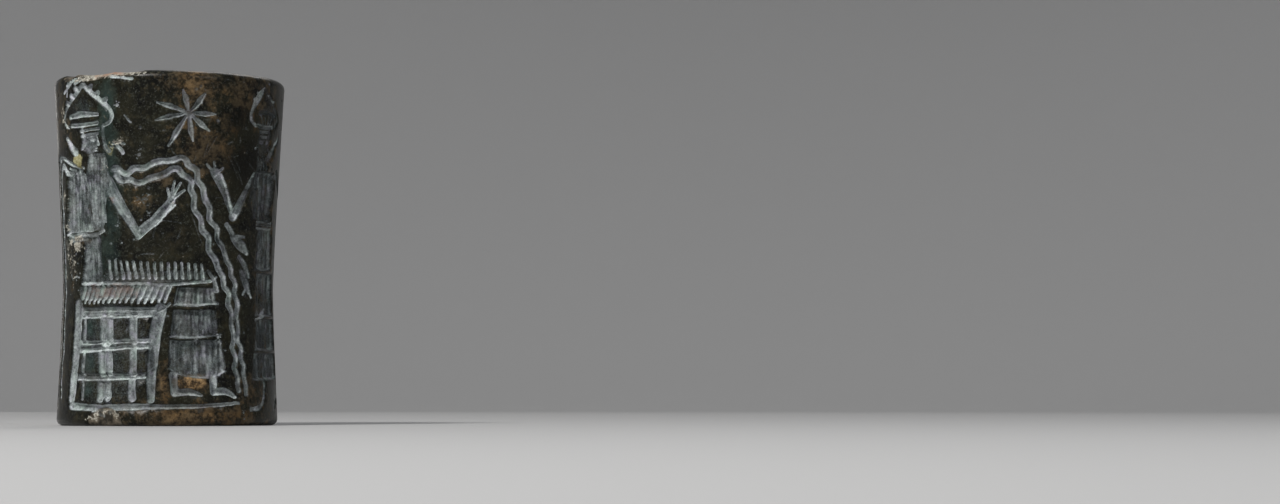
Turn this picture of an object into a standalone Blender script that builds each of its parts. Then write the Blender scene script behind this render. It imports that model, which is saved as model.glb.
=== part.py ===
"""Cylinder seal: a short, thick column of dark green-brown stone, waisted in
the middle, drilled from end to end for a cord or pin, and engraved all round
with a presentation scene of standing figures before an enthroned one.

One piece of stone is one solid.  The body is turned; the engraving is a depth
below the turned surface, worked out on the unrolled face of the seal:
    s = distance round the seal in mm (0 faces -Y, rising towards +X)
    h = height above the foot in mm
Figures are built from a few cutting tools: strokes, hollows and fluted panels.
"""
import math

import bmesh
import bpy
import numpy as np

# ---------------------------------------------------------------- sizes (mm)
HEIGHT = 38.0
TOP_R = 12.66            # the top end is the widest
WAIST_R = 11.48          # narrowest, a little below the middle
FOOT_R = 12.06
WAIST_H = 14.9
TOP_ROUND = 0.9          # worn corner of the top end
FOOT_ROUND = 0.7
BORE_R = 3.0             # drilled right through
MOUTH_R = 3.3            # its mouths are worn wider
MOUTH_DEEP = 1.2

UNROLL_R = 11.5          # radius at which the face is unrolled
ROUND_MM = 2 * math.pi * UNROLL_R
GRID = 0.1               # spacing of the depth drawing
STEPS = 360              # round the seal
ROWS = 190               # up the side
KEEP_TRIANGLES = 9700

CUT = 0.34               # depth of a plain stroke
BODY = 0.70              # depth of a modelled body
DEEPER = 1.3             # all cuts against the figures' own numbers
HAT_TOP = 36.7           # the heads all reach the same height
BRIM = 32.3
SHOULDER = 27.2
BELT = 22.2
HEM = 5.2


def side_radius(h):
    """Turned profile: a shallow waist, wider to the top than to the foot."""
    up = np.clip((h - WAIST_H) / (HEIGHT - WAIST_H), 0, 1) ** 1.25
    down = np.clip((WAIST_H - h) / WAIST_H, 0, 1) ** 1.25
    return WAIST_R + (TOP_R - WAIST_R) * up + (FOOT_R - WAIST_R) * down


# ------------------------------------------------------------ cutting tools
def curve(points, per=4):
    """A smooth path through a few points."""
    if len(points) < 3:
        return points
    p = [points[0], *points, points[-1]]
    path = []
    for k in range(1, len(p) - 2):
        a, b, c, d = p[k - 1:k + 3]
        for q in range(per):
            t = q / per
            path.append(tuple(0.5 * (2 * b[i] + (c[i] - a[i]) * t
                                     + (2 * a[i] - 5 * b[i] + 4 * c[i] - d[i]) * t * t
                                     + (3 * b[i] - a[i] - 3 * c[i] + d[i]) * t ** 3)
                              for i in (0, 1)))
    return path + [points[-1]]


class Relief:
    """Depth below the turned face, drawn on the unrolled (s, h) sheet."""

    def __init__(self, grid):
        self.n = int(round(ROUND_MM / grid))
        self.m = int(round(HEIGHT / grid)) + 1
        self.ds = ROUND_MM / self.n
        self.dh = HEIGHT / (self.m - 1)
        self.body = np.zeros((self.m, self.n))
        self.cuts = np.zeros((self.m, self.n))

    def window(self, s0, s1, h0, h1):
        i0, i1 = int(math.floor(s0 / self.ds)) - 2, int(math.ceil(s1 / self.ds)) + 2
        j0 = max(0, int(h0 / self.dh) - 2)
        j1 = min(self.m - 1, int(h1 / self.dh) + 2)
        i = np.arange(i0, i1 + 1)
        j = np.arange(j0, j1 + 1)
        return i % self.n, j, (i * self.ds)[None, :], (j * self.dh)[:, None]

    def lay(self, layer, i, j, depth):
        at = np.ix_(j, i)
        layer[at] = np.maximum(layer[at], depth)

    def stroke(self, points, width, depth=CUT, body=False, smooth=True, swell=0.0):
        """A groove along points; width and depth run from start to end, and
        swell makes the middle of the stroke fatter than its ends."""
        layer = self.body if body else self.cuts
        w0, w1 = width if isinstance(width, tuple) else (width, width)
        d0, d1 = depth if isinstance(depth, tuple) else (depth, depth)
        points = curve(points) if smooth else points
        spans = [max(1e-6, math.dist(a, b)) for a, b in zip(points, points[1:])]
        total, run = sum(spans), 0.0
        for (a, b), span in zip(zip(points, points[1:]), spans):
            u0, u1 = run / total, (run + span) / total
            run += span
            half = max(w0, w1) / 2 * (1 + swell)
            i, j, s, h = self.window(min(a[0], b[0]) - half, max(a[0], b[0]) + half,
                                     min(a[1], b[1]) - half, max(a[1], b[1]) + half)
            if len(j) < 1:
                continue
            ux, uy = b[0] - a[0], b[1] - a[1]
            t = np.clip(((s - a[0]) * ux + (h - a[1]) * uy) / (span * span), 0, 1)
            away = np.hypot(s - a[0] - t * ux, h - a[1] - t * uy)
            along = u0 + (u1 - u0) * t
            r = (w0 + (w1 - w0) * along) / 2 * (1 + swell * np.sin(math.pi * along))
            q = np.clip(1 - (away / r) ** 2, 0, 1)
            self.lay(layer, i, j, (d0 + (d1 - d0) * along) * q ** 0.5)

    def panel(self, rows, depth, flutes=0, flute=0.12, edge=4.0):
        """A modelled hollow between a left and a right edge, given as rows of
        (height, left, right), with upright flutes cut in it."""
        rows = sorted(rows)
        hs = [r[0] for r in rows]
        lo = min(r[1] for r in rows)
        hi = max(r[2] for r in rows)
        i, j, s, h = self.window(lo, hi, hs[0], hs[-1])
        left = np.interp(h, hs, [r[1] for r in rows])
        right = np.interp(h, hs, [r[2] for r in rows])
        u = (2 * s - left - right) / (right - left)
        ends = np.clip(np.minimum(h - hs[0], hs[-1] - h) / 0.2, 0, 1) ** 0.7
        inside = (np.abs(u) <= 1) * ends
        belly = np.clip(1 - np.abs(u) ** edge, 0, 1) ** 0.5
        self.lay(self.body, i, j, depth * belly * inside)
        if flutes:
            ripple = np.abs(np.sin(math.pi * flutes * (u + 1) / 2))
            self.lay(self.cuts, i, j, flute * ripple ** 0.7 * inside * (belly > 0.2))

    def oval(self, s0, h0, wide, tall, depth):
        i, j, s, h = self.window(s0 - wide / 2, s0 + wide / 2, h0 - tall / 2, h0 + tall / 2)
        q = 1 - ((s - s0) / (wide / 2)) ** 2 - ((h - h0) / (tall / 2)) ** 2
        self.lay(self.body, i, j, depth * np.clip(q, 0, 1) ** 0.5)

    def at(self, s, h):
        """Depth at any place, read between the grid's points."""
        deep = (self.body + self.cuts) * DEEPER
        x = (s / self.ds) % self.n
        y = np.clip(h / self.dh, 0, self.m - 1.001)
        i, j = np.floor(x).astype(int), np.floor(y).astype(int)
        fx, fy = x - i, y - j
        i0, i1 = i % self.n, (i + 1) % self.n
        return ((deep[j, i0] * (1 - fx) + deep[j, i1] * fx) * (1 - fy)
                + (deep[j + 1, i0] * (1 - fx) + deep[j + 1, i1] * fx) * fy)


# ------------------------------------------------------------------ figures
# half of the horned hat's outline, as shares of its half width and height
HORN = [(0.03, 1.0), (0.25, 0.84), (0.58, 0.63), (0.90, 0.40), (1.0, 0.20), (0.90, 0.04),
        (0.70, -0.02)]


def horned_hat(cut, s, wide, top=HAT_TOP, brim=BRIM, bands=(1.0, 1.0)):
    """Tall cap between two great horns, with the tips of more pairs beside."""
    tall = top - brim
    half = wide / 2
    for side in (-1, 1):
        cut.stroke([(s + side * x * half, brim + y * tall) for x, y in HORN], (0.66, 0.44),
                   (0.36, 0.3), swell=0.2)
        for x, y in ((0.27, 0.93), (0.50, 0.75), (0.76, 0.59)):
            cut.stroke([(s + side * x * half * 0.98, brim + y * tall - 0.1),
                        (s + side * (x * half + 0.22), brim + y * tall + 0.12)], (0.85, 0.62),
                       (0.36, 0.28), smooth=False)
    cut.stroke([(s - half * 0.55 * bands[0], brim + tall * 0.24), (s, brim + tall * 0.28),
                (s + half * 0.6 * bands[1], brim + tall * 0.25)], (0.78, 0.6), 0.32)
    cut.stroke([(s - half * 0.5 * bands[0], brim + 0.1), (s + half * 0.5, brim + 0.2)], 0.5, 0.28)


def head(cut, s, face, h=30.4, wide=2.1, tall=2.9, bun=True, hair=1.0):
    """A plain head of the seal cutter's usual kind: a brow band, a straight
    nose and hair rolled behind."""
    cut.oval(s, h, wide, tall, 0.42)
    front = s + face * wide * 0.46
    back = s - face * wide * 0.5
    cut.stroke([(s - 0.85 * hair, h + 1.2), (s + 0.85 * hair, h + 1.3)], 0.5, 0.2, smooth=False)
    cut.stroke([(front - face * 0.1, h + 0.75), (front + face * 0.22, h - 0.12)], (0.34, 0.46),
               0.24, smooth=False)
    if bun:
        cut.stroke([(back - face * 1.5, h + 0.55), (back - face * 1.0, h - 0.35),
                    (back - face * 0.2, h - 1.2)], (0.6, 1.05), (0.3, 0.4))


def beard(cut, s, top, tip, wide=1.7, locks=3):
    for k in range(locks):
        x = s + wide * (k / (locks - 1) - 0.5)
        end = tip + 0.9 * abs(k / (locks - 1) - 0.5)
        cut.stroke([(x, top), (x, end)], (0.62, 0.42), (0.3, 0.22), smooth=False)


def arm(cut, joints, thick=(1.15, 0.75), deep=0.42):
    cut.stroke(joints, thick, deep, body=True, smooth=False)


def hand(cut, wrist, tips):
    for tip in tips:
        cut.stroke([wrist, tip], (0.46, 0.28), (0.3, 0.18), smooth=False)


def foot(cut, ankle, heel, toe, thick=0.85):
    cut.stroke([ankle, heel], (thick, thick * 0.95), 0.42, body=True, smooth=False)
    cut.stroke([heel, toe], (thick * 0.9, 0.45), (0.42, 0.3), body=True, smooth=False)


def torso(cut, s, wide=4.4, waist=3.2, top=SHOULDER, low=BELT):
    cut.panel([(top + 0.5, s - wide * 0.3, s + wide * 0.3), (top, s - wide / 2, s + wide / 2),
               (low + 1.6, s - waist / 2, s + waist / 2), (low, s - waist / 2, s + waist / 2)],
              BODY, 0, 0, 2.0)
    cut.stroke([(s - waist / 2 - 0.15, low - 0.4), (s + waist / 2 + 0.15, low - 0.4)], 0.7, 0.22)


def skirt(cut, waist, hem, top=BELT - 0.7, low=HEM, flutes=5):
    """Pleated skirt from waist (left, right) to hem (left, right)."""
    third = top - (top - low) * 0.62
    mid = [w + (f - w) * 0.25 for w, f in zip(waist, hem)]
    cut.panel([(top, *waist), (third, *mid), (low, *hem)], 0.42, flutes, 0.2, 5.0)


def tiers(cut, rows, flutes=5):
    """Flounced robe: each (top, low, left, right) is one flounce."""
    for top, low, left, right in rows:
        cut.panel([(top, left + 0.15, right - 0.15), (low, left - 0.15, right + 0.15)],
                  0.34, flutes, 0.12, 6.0)
        cut.stroke([(left - 0.15, low + 0.02), (right + 0.3, low + 0.3)], 0.36, 0.16)


def star(cut, s, h, rays):
    """Rays given as (lean in degrees, reach), thin at both ends."""
    for lean, reach in rays:
        a = math.radians(lean)
        mid = (s + 0.62 * reach * math.cos(a), h + 0.62 * reach * math.sin(a))
        tip = (s + reach * math.cos(a), h + reach * math.sin(a))
        cut.stroke([(s, h), mid], (0.3, 0.72), (0.14, 0.3))
        cut.stroke([mid, tip], (0.72, 0.24), (0.3, 0.12))


def stream(cut, points, wave=0.16, length=2.2, start=0.0):
    """Falling water: one wavy groove along a few points."""
    path, run = [], start
    base = curve(points, 5)
    for a, b in zip(base, base[1:]):
        span = math.dist(a, b) + 1e-6
        nx, ny = (a[1] - b[1]) / span, (b[0] - a[0]) / span
        off = wave * (0.75 + 0.35 * math.sin(0.9 * run)) * math.sin(
            2 * math.pi * run / length + 0.7 * math.sin(0.6 * run))
        path.append((a[0] + nx * off, a[1] + ny * off))
        run += span
    path.append(points[-1])
    cut.stroke(path, (0.74, 0.64), 0.3, smooth=False)


def enthroned(cut):
    """The seated figure, its throne and the two pairs of streams."""
    horned_hat(cut, -9.75, 7.4, 36.6, 32.2, (1.15, 0.87))
    head(cut, -8.95, 1, 30.25, 2.2, 2.5, bun=False, hair=1.5)
    cut.stroke([(-13.0, 31.0), (-12.1, 30.1), (-11.2, 29.4)], (0.55, 1.1), (0.3, 0.4))
    cut.panel([(29.0, -9.1, -6.7), (26.6, -9.7, -6.2), (21.0, -9.3, -6.6)], 0.2, 0, 0, 4.0)
    beard(cut, -7.85, 29.0, 21.4, 2.0, 3)
    cut.stroke([(-5.9, 30.2), (-5.3, 30.3), (-4.7, 30.1)], 0.34, 0.18)
    # shawl over the shoulder, pleated, its hem, and the robe below
    cut.stroke([(-15.0, 29.1), (-14.1, 28.9), (-12.9, 28.5), (-11.2, 27.9)], (0.4, 0.5), 0.24)
    cut.panel([(27.9, -12.3, -10.4), (26.9, -13.3, -9.6), (23.0, -14.0, -9.1),
               (20.7, -14.4, -8.7)], 0.42, 5, 0.16, 5.0)
    cut.stroke([(-14.0, 20.7), (-12.2, 20.45), (-10.3, 20.55), (-7.5, 21.2)], 0.42, 0.2)
    cut.panel([(20.4, -10.4, -7.7), (17.5, -10.4, -7.6), (15.2, -10.9, -7.5)], 0.38, 3, 0.14, 5.0)
    # arm held out, hand raised
    arm(cut, [(-6.7, 26.0), (-5.2, 23.4), (-3.3, 20.4)], (1.6, 0.95), 0.4)
    arm(cut, [(-3.3, 20.3), (-1.5, 21.9), (0.2, 23.9)], (0.95, 0.8), 0.38)
    hand(cut, (0.1, 24.0), [(-0.2, 25.3), (0.55, 26.1), (1.15, 25.9), (1.6, 25.1)])
    # lap: fringes over the front edge of the seat
    for k in range(11):
        x = -6.6 + 1.0 * k
        cut.stroke([(x - 0.1, 17.6 - 0.04 * k), (x + 0.12, 15.8)], 0.42, 0.2, smooth=False)
    cut.panel([(16.6, -7.4, 4.0), (15.2, -7.6, 4.6)], 0.14, 0, 0, 8.0)
    cut.stroke([(-10.6, 15.2), (-2.2, 15.1), (4.6, 15.5)], 0.42, 0.18)
    for k in range(11):
        x = -10.8 + 1.0 * k
        cut.stroke([(x, 13.2), (x + 0.62, 14.85)], 0.44, 0.2, smooth=False)
    cut.panel([(15.0, -11.2, 0.0), (13.4, -11.3, -0.2)], 0.16, 0, 0, 8.0)
    # knee and flounced robe
    cut.stroke([(4.3, 16.6), (5.0, 15.6), (5.3, 14.5)], (0.35, 0.6), 0.24)
    tiers(cut, [(14.8, 12.75, 0.7, 5.0), (12.35, 9.3, 0.3, 5.2), (8.95, 5.75, -0.1, 5.9)], 6)
    foot(cut, (0.55, 5.4), (0.7, 3.45), (3.3, 3.3), 0.84)
    foot(cut, (4.8, 5.4), (4.95, 3.5), (7.4, 3.2), 0.84)
    # throne: posts, rails and bars
    cut.stroke([(-11.35, 13.3), (-11.4, 10.5), (-11.6, 7.0), (-11.95, 3.0)], (1.6, 1.4), 0.3,
               body=True)
    cut.stroke([(-0.85, 12.4), (-1.4, 9.5), (-1.65, 6.1), (-1.8, 2.8)], (1.5, 0.95), 0.45,
               body=True)
    cut.panel([(12.75, -11.4, -1.0), (11.5, -11.4, -1.0)], 0.32, 0, 0, 12.0)
    for x, rise in ((8.95, 0.15), (8.15, 0.3)):
        cut.stroke([(-10.8, x - rise * 0.5), (-2.1, x + rise)], 0.48, 0.26)
    cut.panel([(5.65, -11.0, -2.3), (4.85, -11.1, -2.3)], 0.32, 0, 0, 12.0)
    for x, thick in ((-10.0, 0.5), (-7.45, 0.8), (-6.5, 0.66), (-3.72, 0.85)):
        cut.stroke([(x, 11.6), (x, 2.9)], thick, 0.27)
    cut.stroke([(-12.0, 2.1), (-7.0, 1.9), (-2.0, 2.0), (3.0, 2.05), (8.0, 2.4)], (0.88, 0.34),
               (0.36, 0.16))
    star(cut, 1.95, 33.35, [(105, 2.6), (51, 2.65), (-2, 2.75), (-43, 2.8), (-84, 3.0), (-122, 4.1),
                            (-168, 3.5), (160, 3.45)])
    # streams from the near shoulder and, behind, from the far one
    stream(cut, [(-6.0, 27.4), (-4.4, 27.1), (-2.4, 27.7), (0.2, 28.4), (1.8, 28.2), (3.0, 26.4),
                 (3.9, 24.1), (4.7, 21.8), (5.8, 19.2), (7.3, 16.1), (7.9, 13.0), (8.0, 10.0),
                 (8.5, 7.0), (9.0, 3.4)], 0.21)
    stream(cut, [(-5.7, 26.7), (-3.8, 26.0), (-1.8, 26.4), (0.2, 27.25), (1.5, 26.9), (2.4, 25.2),
                 (2.7, 23.2), (3.7, 21.1), (4.4, 18.9), (6.0, 15.9), (7.0, 13.0), (7.3, 9.8),
                 (7.5, 6.8), (8.0, 3.8)], 0.21, start=0.8)
    stream(cut, [(-12.9, 27.2), (-14.4, 28.0), (-15.2, 27.2), (-15.3, 24.0), (-15.2, 20.0),
                 (-15.0, 15.9), (-15.1, 11.4), (-14.9, 8.5), (-15.3, 5.5), (-14.9, 3.2)])
    stream(cut, [(-15.0, 28.9), (-16.5, 27.9), (-16.8, 23.5), (-16.6, 19.0), (-16.5, 15.9),
                 (-16.8, 11.4), (-16.6, 6.3), (-16.6, 2.4)], start=1.0)


def vizier(cut):
    """Standing figure with a raised hand, before the enthroned one."""
    # worn hat: a leaf-shaped near horn, the rest faint
    cut.stroke([(11.0, 36.6), (10.45, 36.0), (9.95, 35.4), (9.45, 34.7), (9.15, 34.1)], (0.4, 0.34),
               (0.24, 0.28), swell=1.6)
    cut.stroke([(9.2, 34.2), (9.0, 33.6), (9.15, 33.0), (9.75, 32.5)], (0.42, 0.5), 0.24)
    cut.stroke([(11.3, 36.5), (12.0, 35.8), (13.0, 35.2), (13.6, 34.4), (14.4, 33.4), (13.7, 32.6)],
               (0.5, 0.45), 0.28)
    cut.stroke([(10.4, 33.9), (11.8, 34.1), (13.5, 33.8)], (0.55, 0.5), 0.24)
    cut.stroke([(10.2, 32.5), (11.5, 32.35), (13.2, 32.5)], (0.5, 0.45), 0.24)
    head(cut, 11.5, -1)
    beard(cut, 11.4, 29.0, 25.6, 1.6)
    torso(cut, 12.5, 4.8, 3.2)
    cut.panel([(27.0, 9.8, 11.6), (24.6, 9.4, 11.3), (22.4, 10.2, 11.1)], 0.34, 0, 0, 3.0)
    arm(cut, [(10.0, 27.2), (8.5, 24.8), (7.2, 22.5)], (0.5, 1.15), 0.34)
    arm(cut, [(7.2, 22.6), (6.1, 24.8), (4.8, 27.1)], (0.6, 1.15), 0.3)
    hand(cut, (4.9, 26.9), [(3.8, 27.9), (4.6, 28.2), (5.7, 27.7)])
    arm(cut, [(15.1, 27.5), (18.4, 24.2), (19.0, 19.9), (20.1, 17.6)], (1.1, 0.5), 0.38)
    tiers(cut, [(21.4, 16.9, 10.9, 14.7), (16.6, 11.9, 11.0, 15.6), (11.6, 8.2, 10.9, 16.3),
                (7.9, 5.0, 10.3, 17.3)], 4)
    foot(cut, (12.0, 4.9), (12.4, 2.6), (9.7, 1.6), 0.6)
    foot(cut, (16.9, 4.7), (17.2, 2.5), (15.2, 2.0), 0.7)
    # two small fish rising beside the streams
    cut.stroke([(6.4, 21.6), (7.2, 20.6)], (0.4, 0.7), 0.24, smooth=False)
    cut.stroke([(7.3, 20.3), (8.2, 19.6), (9.2, 18.7)], (0.6, 0.4), 0.3, swell=0.9)
    cut.stroke([(7.9, 20.4), (8.9, 20.3)], (0.42, 0.3), 0.18)
    cut.stroke([(8.2, 18.2), (9.0, 17.3), (9.8, 16.1)], (0.36, 0.42), 0.22)
    cut.stroke([(8.5, 16.6), (9.1, 15.6), (9.8, 14.5)], (0.5, 0.4), 0.28, swell=0.8)


def bird_man(cut):
    """Captive with a man's head and arms and a bird's tail and legs."""
    cut.stroke([(26.1, 33.0), (25.6, 35.3), (23.5, 36.2), (21.4, 35.2), (21.1, 33.8)], 0.75, 0.4,
               body=True)
    for k in range(5):                       # hair over the brow
        x = 21.8 + 0.85 * k
        cut.stroke([(x, 34.4), (x + 0.1, 35.5 - 0.1 * (k - 2) ** 2)], 0.36, 0.16)
    head(cut, 23.0, -1, 32.6, 2.3, 3.0, bun=False)
    cut.oval(25.2, 32.3, 1.3, 2.1, 0.4)
    beard(cut, 23.2, 31.2, 26.4, 1.9)
    torso(cut, 24.3, 5.2, 2.8, 28.3, 22.6)
    arm(cut, [(26.4, 28.4), (28.9, 24.8), (31.9, 24.0)])
    hand(cut, (31.7, 24.0), [(34.2, 24.1), (34.0, 23.5), (33.2, 23.1)])
    arm(cut, [(21.2, 27.4), (22.5, 24.2), (26.2, 23.3), (31.2, 22.2)], (1.15, 0.65))
    cut.panel([(21.6, 23.4, 26.6), (19.4, 23.3, 27.0), (16.6, 23.6, 27.0)], 0.46, 0, 0, 3.0)
    for k in range(5):                       # tail feathers fan out behind
        t = k / 4
        cut.stroke([(25.4 + 1.2 * (1 - t), 20.8 - 2.6 * t), (28.7, 18.9 - 2.6 * t),
                    (31.6, 18.1 - 2.8 * t), (34.5 - 1.0 * t, 16.9 - 1.9 * t)], (0.55, 0.85),
                   (0.32, 0.36))
    cut.stroke([(26.2, 17.2), (27.8, 13.8), (29.0, 10.8)], (1.8, 0.8), 0.45, body=True)
    cut.stroke([(29.0, 10.8), (28.5, 3.5)], 0.62, 0.38, body=True)
    cut.stroke([(24.5, 17.2), (24.2, 13.0), (24.5, 9.1)], (1.8, 0.8), 0.45, body=True)
    cut.stroke([(24.5, 9.1), (22.8, 3.5)], 0.62, 0.38, body=True)
    for x in (28.5, 22.9):
        for reach in (-2.0, -0.6, 0.5, 1.4):  # spread talons
            cut.stroke([(x, 3.7), (x + reach * 0.7, 2.5), (x + reach, 1.9)], (0.5, 0.3),
                       (0.32, 0.18))
    cut.stroke([(34.6, 35.5), (29.4, 32.7), (26.2, 30.4), (22.0, 29.9), (18.4, 28.8)], 0.38, 0.22)
    cut.stroke([(18.4, 28.8), (19.5, 25.1), (20.0, 22.2), (20.0, 19.9)], 0.38, 0.22)


def guards(cut):
    """Two standing attendants behind the captive."""
    horned_hat(cut, 40.3, 6.6, 36.9, 32.6)
    head(cut, 39.9, -1)
    beard(cut, 39.3, 29.0, 23.8)
    torso(cut, 40.1)
    arm(cut, [(37.6, 26.5), (32.2, 26.7), (28.8, 33.1)], (1.15, 0.7))
    hand(cut, (28.9, 32.8), [(28.2, 33.9), (28.9, 34.2), (29.5, 33.7)])
    arm(cut, [(37.9, 23.2), (31.6, 22.9)], (1.05, 0.75))
    hand(cut, (31.8, 22.9), [(31.5, 24.1), (31.0, 23.4), (31.9, 21.9)])
    skirt(cut, (38.0, 42.2), (36.1, 43.1), low=5.6)
    foot(cut, (41.5, 5.3), (41.7, 2.8), (39.7, 2.3))
    foot(cut, (37.9, 5.3), (38.2, 2.8), (35.5, 2.3))

    horned_hat(cut, 48.4, 6.2, 36.7, 32.4)
    head(cut, 48.6, -1)
    beard(cut, 48.4, 29.0, 24.8, 1.6)
    torso(cut, 49.3)
    arm(cut, [(51.1, 27.0), (52.6, 22.9), (47.4, 25.5)], (1.15, 0.75))
    arm(cut, [(46.9, 27.0), (45.5, 24.0), (44.1, 29.4)], (1.05, 0.65))
    hand(cut, (44.1, 29.2), [(43.7, 30.3), (44.3, 30.5), (44.8, 29.9)])
    skirt(cut, (47.2, 51.2), (45.6, 53.0), low=5.3)
    foot(cut, (51.6, 5.0), (51.8, 2.7), (50.0, 2.2))
    foot(cut, (47.5, 5.0), (47.8, 2.7), (45.2, 2.3))
    cut.stroke([(57.0, 29.3), (53.4, 28.4), (47.8, 28.2), (44.5, 29.1), (41.8, 29.2)], 0.38, 0.22)
    cut.stroke([(53.2, 29.8), (53.9, 25.4), (53.5, 18.0), (52.8, 12.0), (53.9, 10.0),
                (53.4, 9.0)], 0.44, 0.26)
    for k in range(6):                       # bag of netting hung on the staff
        h = 17.0 - 1.0 * k
        cut.stroke([(53.1, h), (55.2, h - 0.6)], 0.36, 0.2)


# -------------------------------------------------------------------- wear
CHIPS = [                # (s, h, across, up, deep) of losses along the ends
    (-8.6, 38.0, 5.6, 1.1, 0.45), (-12.4, 37.95, 3.0, 0.9, 0.3), (-4.6, 38.1, 4.0, 0.8, 0.3),
    (-6.9, 0.4, 4.4, 1.6, 0.35), (21.0, 38.0, 6.0, 1.3, 0.4), (39.0, 0.2, 5.0, 1.2, 0.35),
]


def wear(s, h):
    deep = np.zeros_like(s)
    for s0, h0, across, up, most in CHIPS:
        ds = (s - s0 + ROUND_MM / 2) % ROUND_MM - ROUND_MM / 2
        q = 1 - (ds / (across / 2)) ** 2 - ((h - h0) / up) ** 2
        deep = np.maximum(deep, most * np.clip(q, 0, 1) ** 0.6)
    return deep


# --------------------------------------------------------------------- make
def corner(radius, height, r, a0, a1, steps=5):
    out = []
    for k in range(steps + 1):
        a = math.radians(a0 + (a1 - a0) * k / steps)
        out.append((radius + r * math.cos(a), height + r * math.sin(a)))
    return out


def half_profile():
    """Outline of the seal at +X in mm, outer side from top to foot, then the
    foot, the bore from foot to top, and the top end back to the start."""
    top_r = float(side_radius(HEIGHT - TOP_ROUND))
    foot_r = float(side_radius(FOOT_ROUND))
    rim = corner(top_r - TOP_ROUND, HEIGHT - TOP_ROUND, TOP_ROUND, 90, 0)
    side = [(float(side_radius(h)), h)
            for h in np.linspace(HEIGHT - TOP_ROUND, FOOT_ROUND, ROWS)[1:-1]]
    base = corner(foot_r - FOOT_ROUND, FOOT_ROUND, FOOT_ROUND, 0, -90)
    foot_end = [(r, 0.0) for r in (9.0, 6.0)] + [(MOUTH_R, 0.0)]
    bore = [(BORE_R, MOUTH_DEEP), (BORE_R, HEIGHT / 2), (BORE_R, HEIGHT - MOUTH_DEEP)]
    top_end = [(MOUTH_R, HEIGHT), (6.0, HEIGHT), (9.0, HEIGHT)]
    return rim + side + base + foot_end + bore + top_end


def turned_body(name, collection):
    profile = half_profile()
    mesh = bpy.data.meshes.new(name)
    mesh.from_pydata([(r / 1000, 0, h / 1000) for r, h in profile],
                     [(k, (k + 1) % len(profile)) for k in range(len(profile))], [])
    body = bpy.data.objects.new(name, mesh)
    collection.objects.link(body)
    screw = body.modifiers.new("turn", "SCREW")
    screw.axis = "Z"
    screw.steps = screw.render_steps = STEPS
    screw.use_merge_vertices = True
    screw.merge_threshold = 0.00001
    screw.use_normal_calculate = True
    graph = bpy.context.evaluated_depsgraph_get()
    turned = bpy.data.meshes.new_from_object(body.evaluated_get(graph))
    body.modifiers.clear()
    body.data = turned
    bpy.data.meshes.remove(mesh)
    return body


def engrave(body):
    cut = Relief(GRID)
    enthroned(cut)
    vizier(cut)
    bird_man(cut)
    guards(cut)
    mesh = body.data
    co = np.empty(len(mesh.vertices) * 3, dtype=np.float32)
    mesh.vertices.foreach_get("co", co)
    co = co.reshape(-1, 3).astype(float)
    x, y, h = co[:, 0] * 1000, co[:, 1] * 1000, co[:, 2] * 1000
    r = np.hypot(x, y)
    angle = np.arctan2(x, -y)
    s = angle * UNROLL_R
    outer = (r > 9.5) & (h > 0.02) & (h < HEIGHT + 1)
    deep = np.where(outer, cut.at(s, h) + wear(s, h), 0.0)
    on_side = np.clip((r - 9.5) / 1.5, 0, 1)
    scale = (r - deep * on_side) / np.maximum(r, 1e-6)
    co[:, 0] *= scale
    co[:, 1] *= scale
    top_loss = np.where((h > HEIGHT - 0.6) & (r > 9.5), wear(s, h) * 0.6, 0.0)
    co[:, 2] -= top_loss * on_side / 1000
    mesh.vertices.foreach_set("co", co.astype(np.float32).ravel())
    mesh.update()


def thin_out(body):
    """Fewer, larger facets where the stone is smooth."""
    work = bmesh.new()
    work.from_mesh(body.data)
    bmesh.ops.triangulate(work, faces=work.faces[:])
    bmesh.ops.recalc_face_normals(work, faces=work.faces[:])
    faces = len(work.faces)
    work.to_mesh(body.data)
    work.free()
    thin = body.modifiers.new("facets", "DECIMATE")
    thin.decimate_type = "COLLAPSE"
    thin.ratio = KEEP_TRIANGLES / faces
    thin.use_collapse_triangulate = True
    graph = bpy.context.evaluated_depsgraph_get()
    mesh = bpy.data.meshes.new_from_object(body.evaluated_get(graph))
    body.modifiers.clear()
    body.data = mesh
    for v in mesh.vertices:                  # the foot is flat
        if abs(v.co.z) < 0.00002:
            v.co.z = 0.0
        if abs(v.co.z - HEIGHT / 1000) < 0.00002:
            v.co.z = HEIGHT / 1000
    mesh.update()


def stone():
    mat = bpy.data.materials.new("dark_green_stone")
    mat.use_nodes = True
    look = mat.node_tree.nodes["Principled BSDF"]
    look.inputs["Base Color"].default_value = (0.022, 0.024, 0.018, 1)
    look.inputs["Roughness"].default_value = 0.38
    look.inputs["Metallic"].default_value = 0.0
    return mat


def main():
    for old in list(bpy.data.objects):
        bpy.data.objects.remove(old, do_unlink=True)
    collection = bpy.data.collections.new("cylinder_seal")
    bpy.context.scene.collection.children.link(collection)
    seal = turned_body("seal_stone", collection)
    engrave(seal)
    thin_out(seal)
    seal.data.materials.clear()
    seal.data.materials.append(stone())
    seal.data.shade_smooth()
    seal.data.set_sharp_from_angle(angle=math.radians(40))


main()
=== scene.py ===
"""Looks of the cylinder seal: the engraved stone at full detail, its finish,
a plain pale floor, soft studio light and the camera."""
import math

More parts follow.
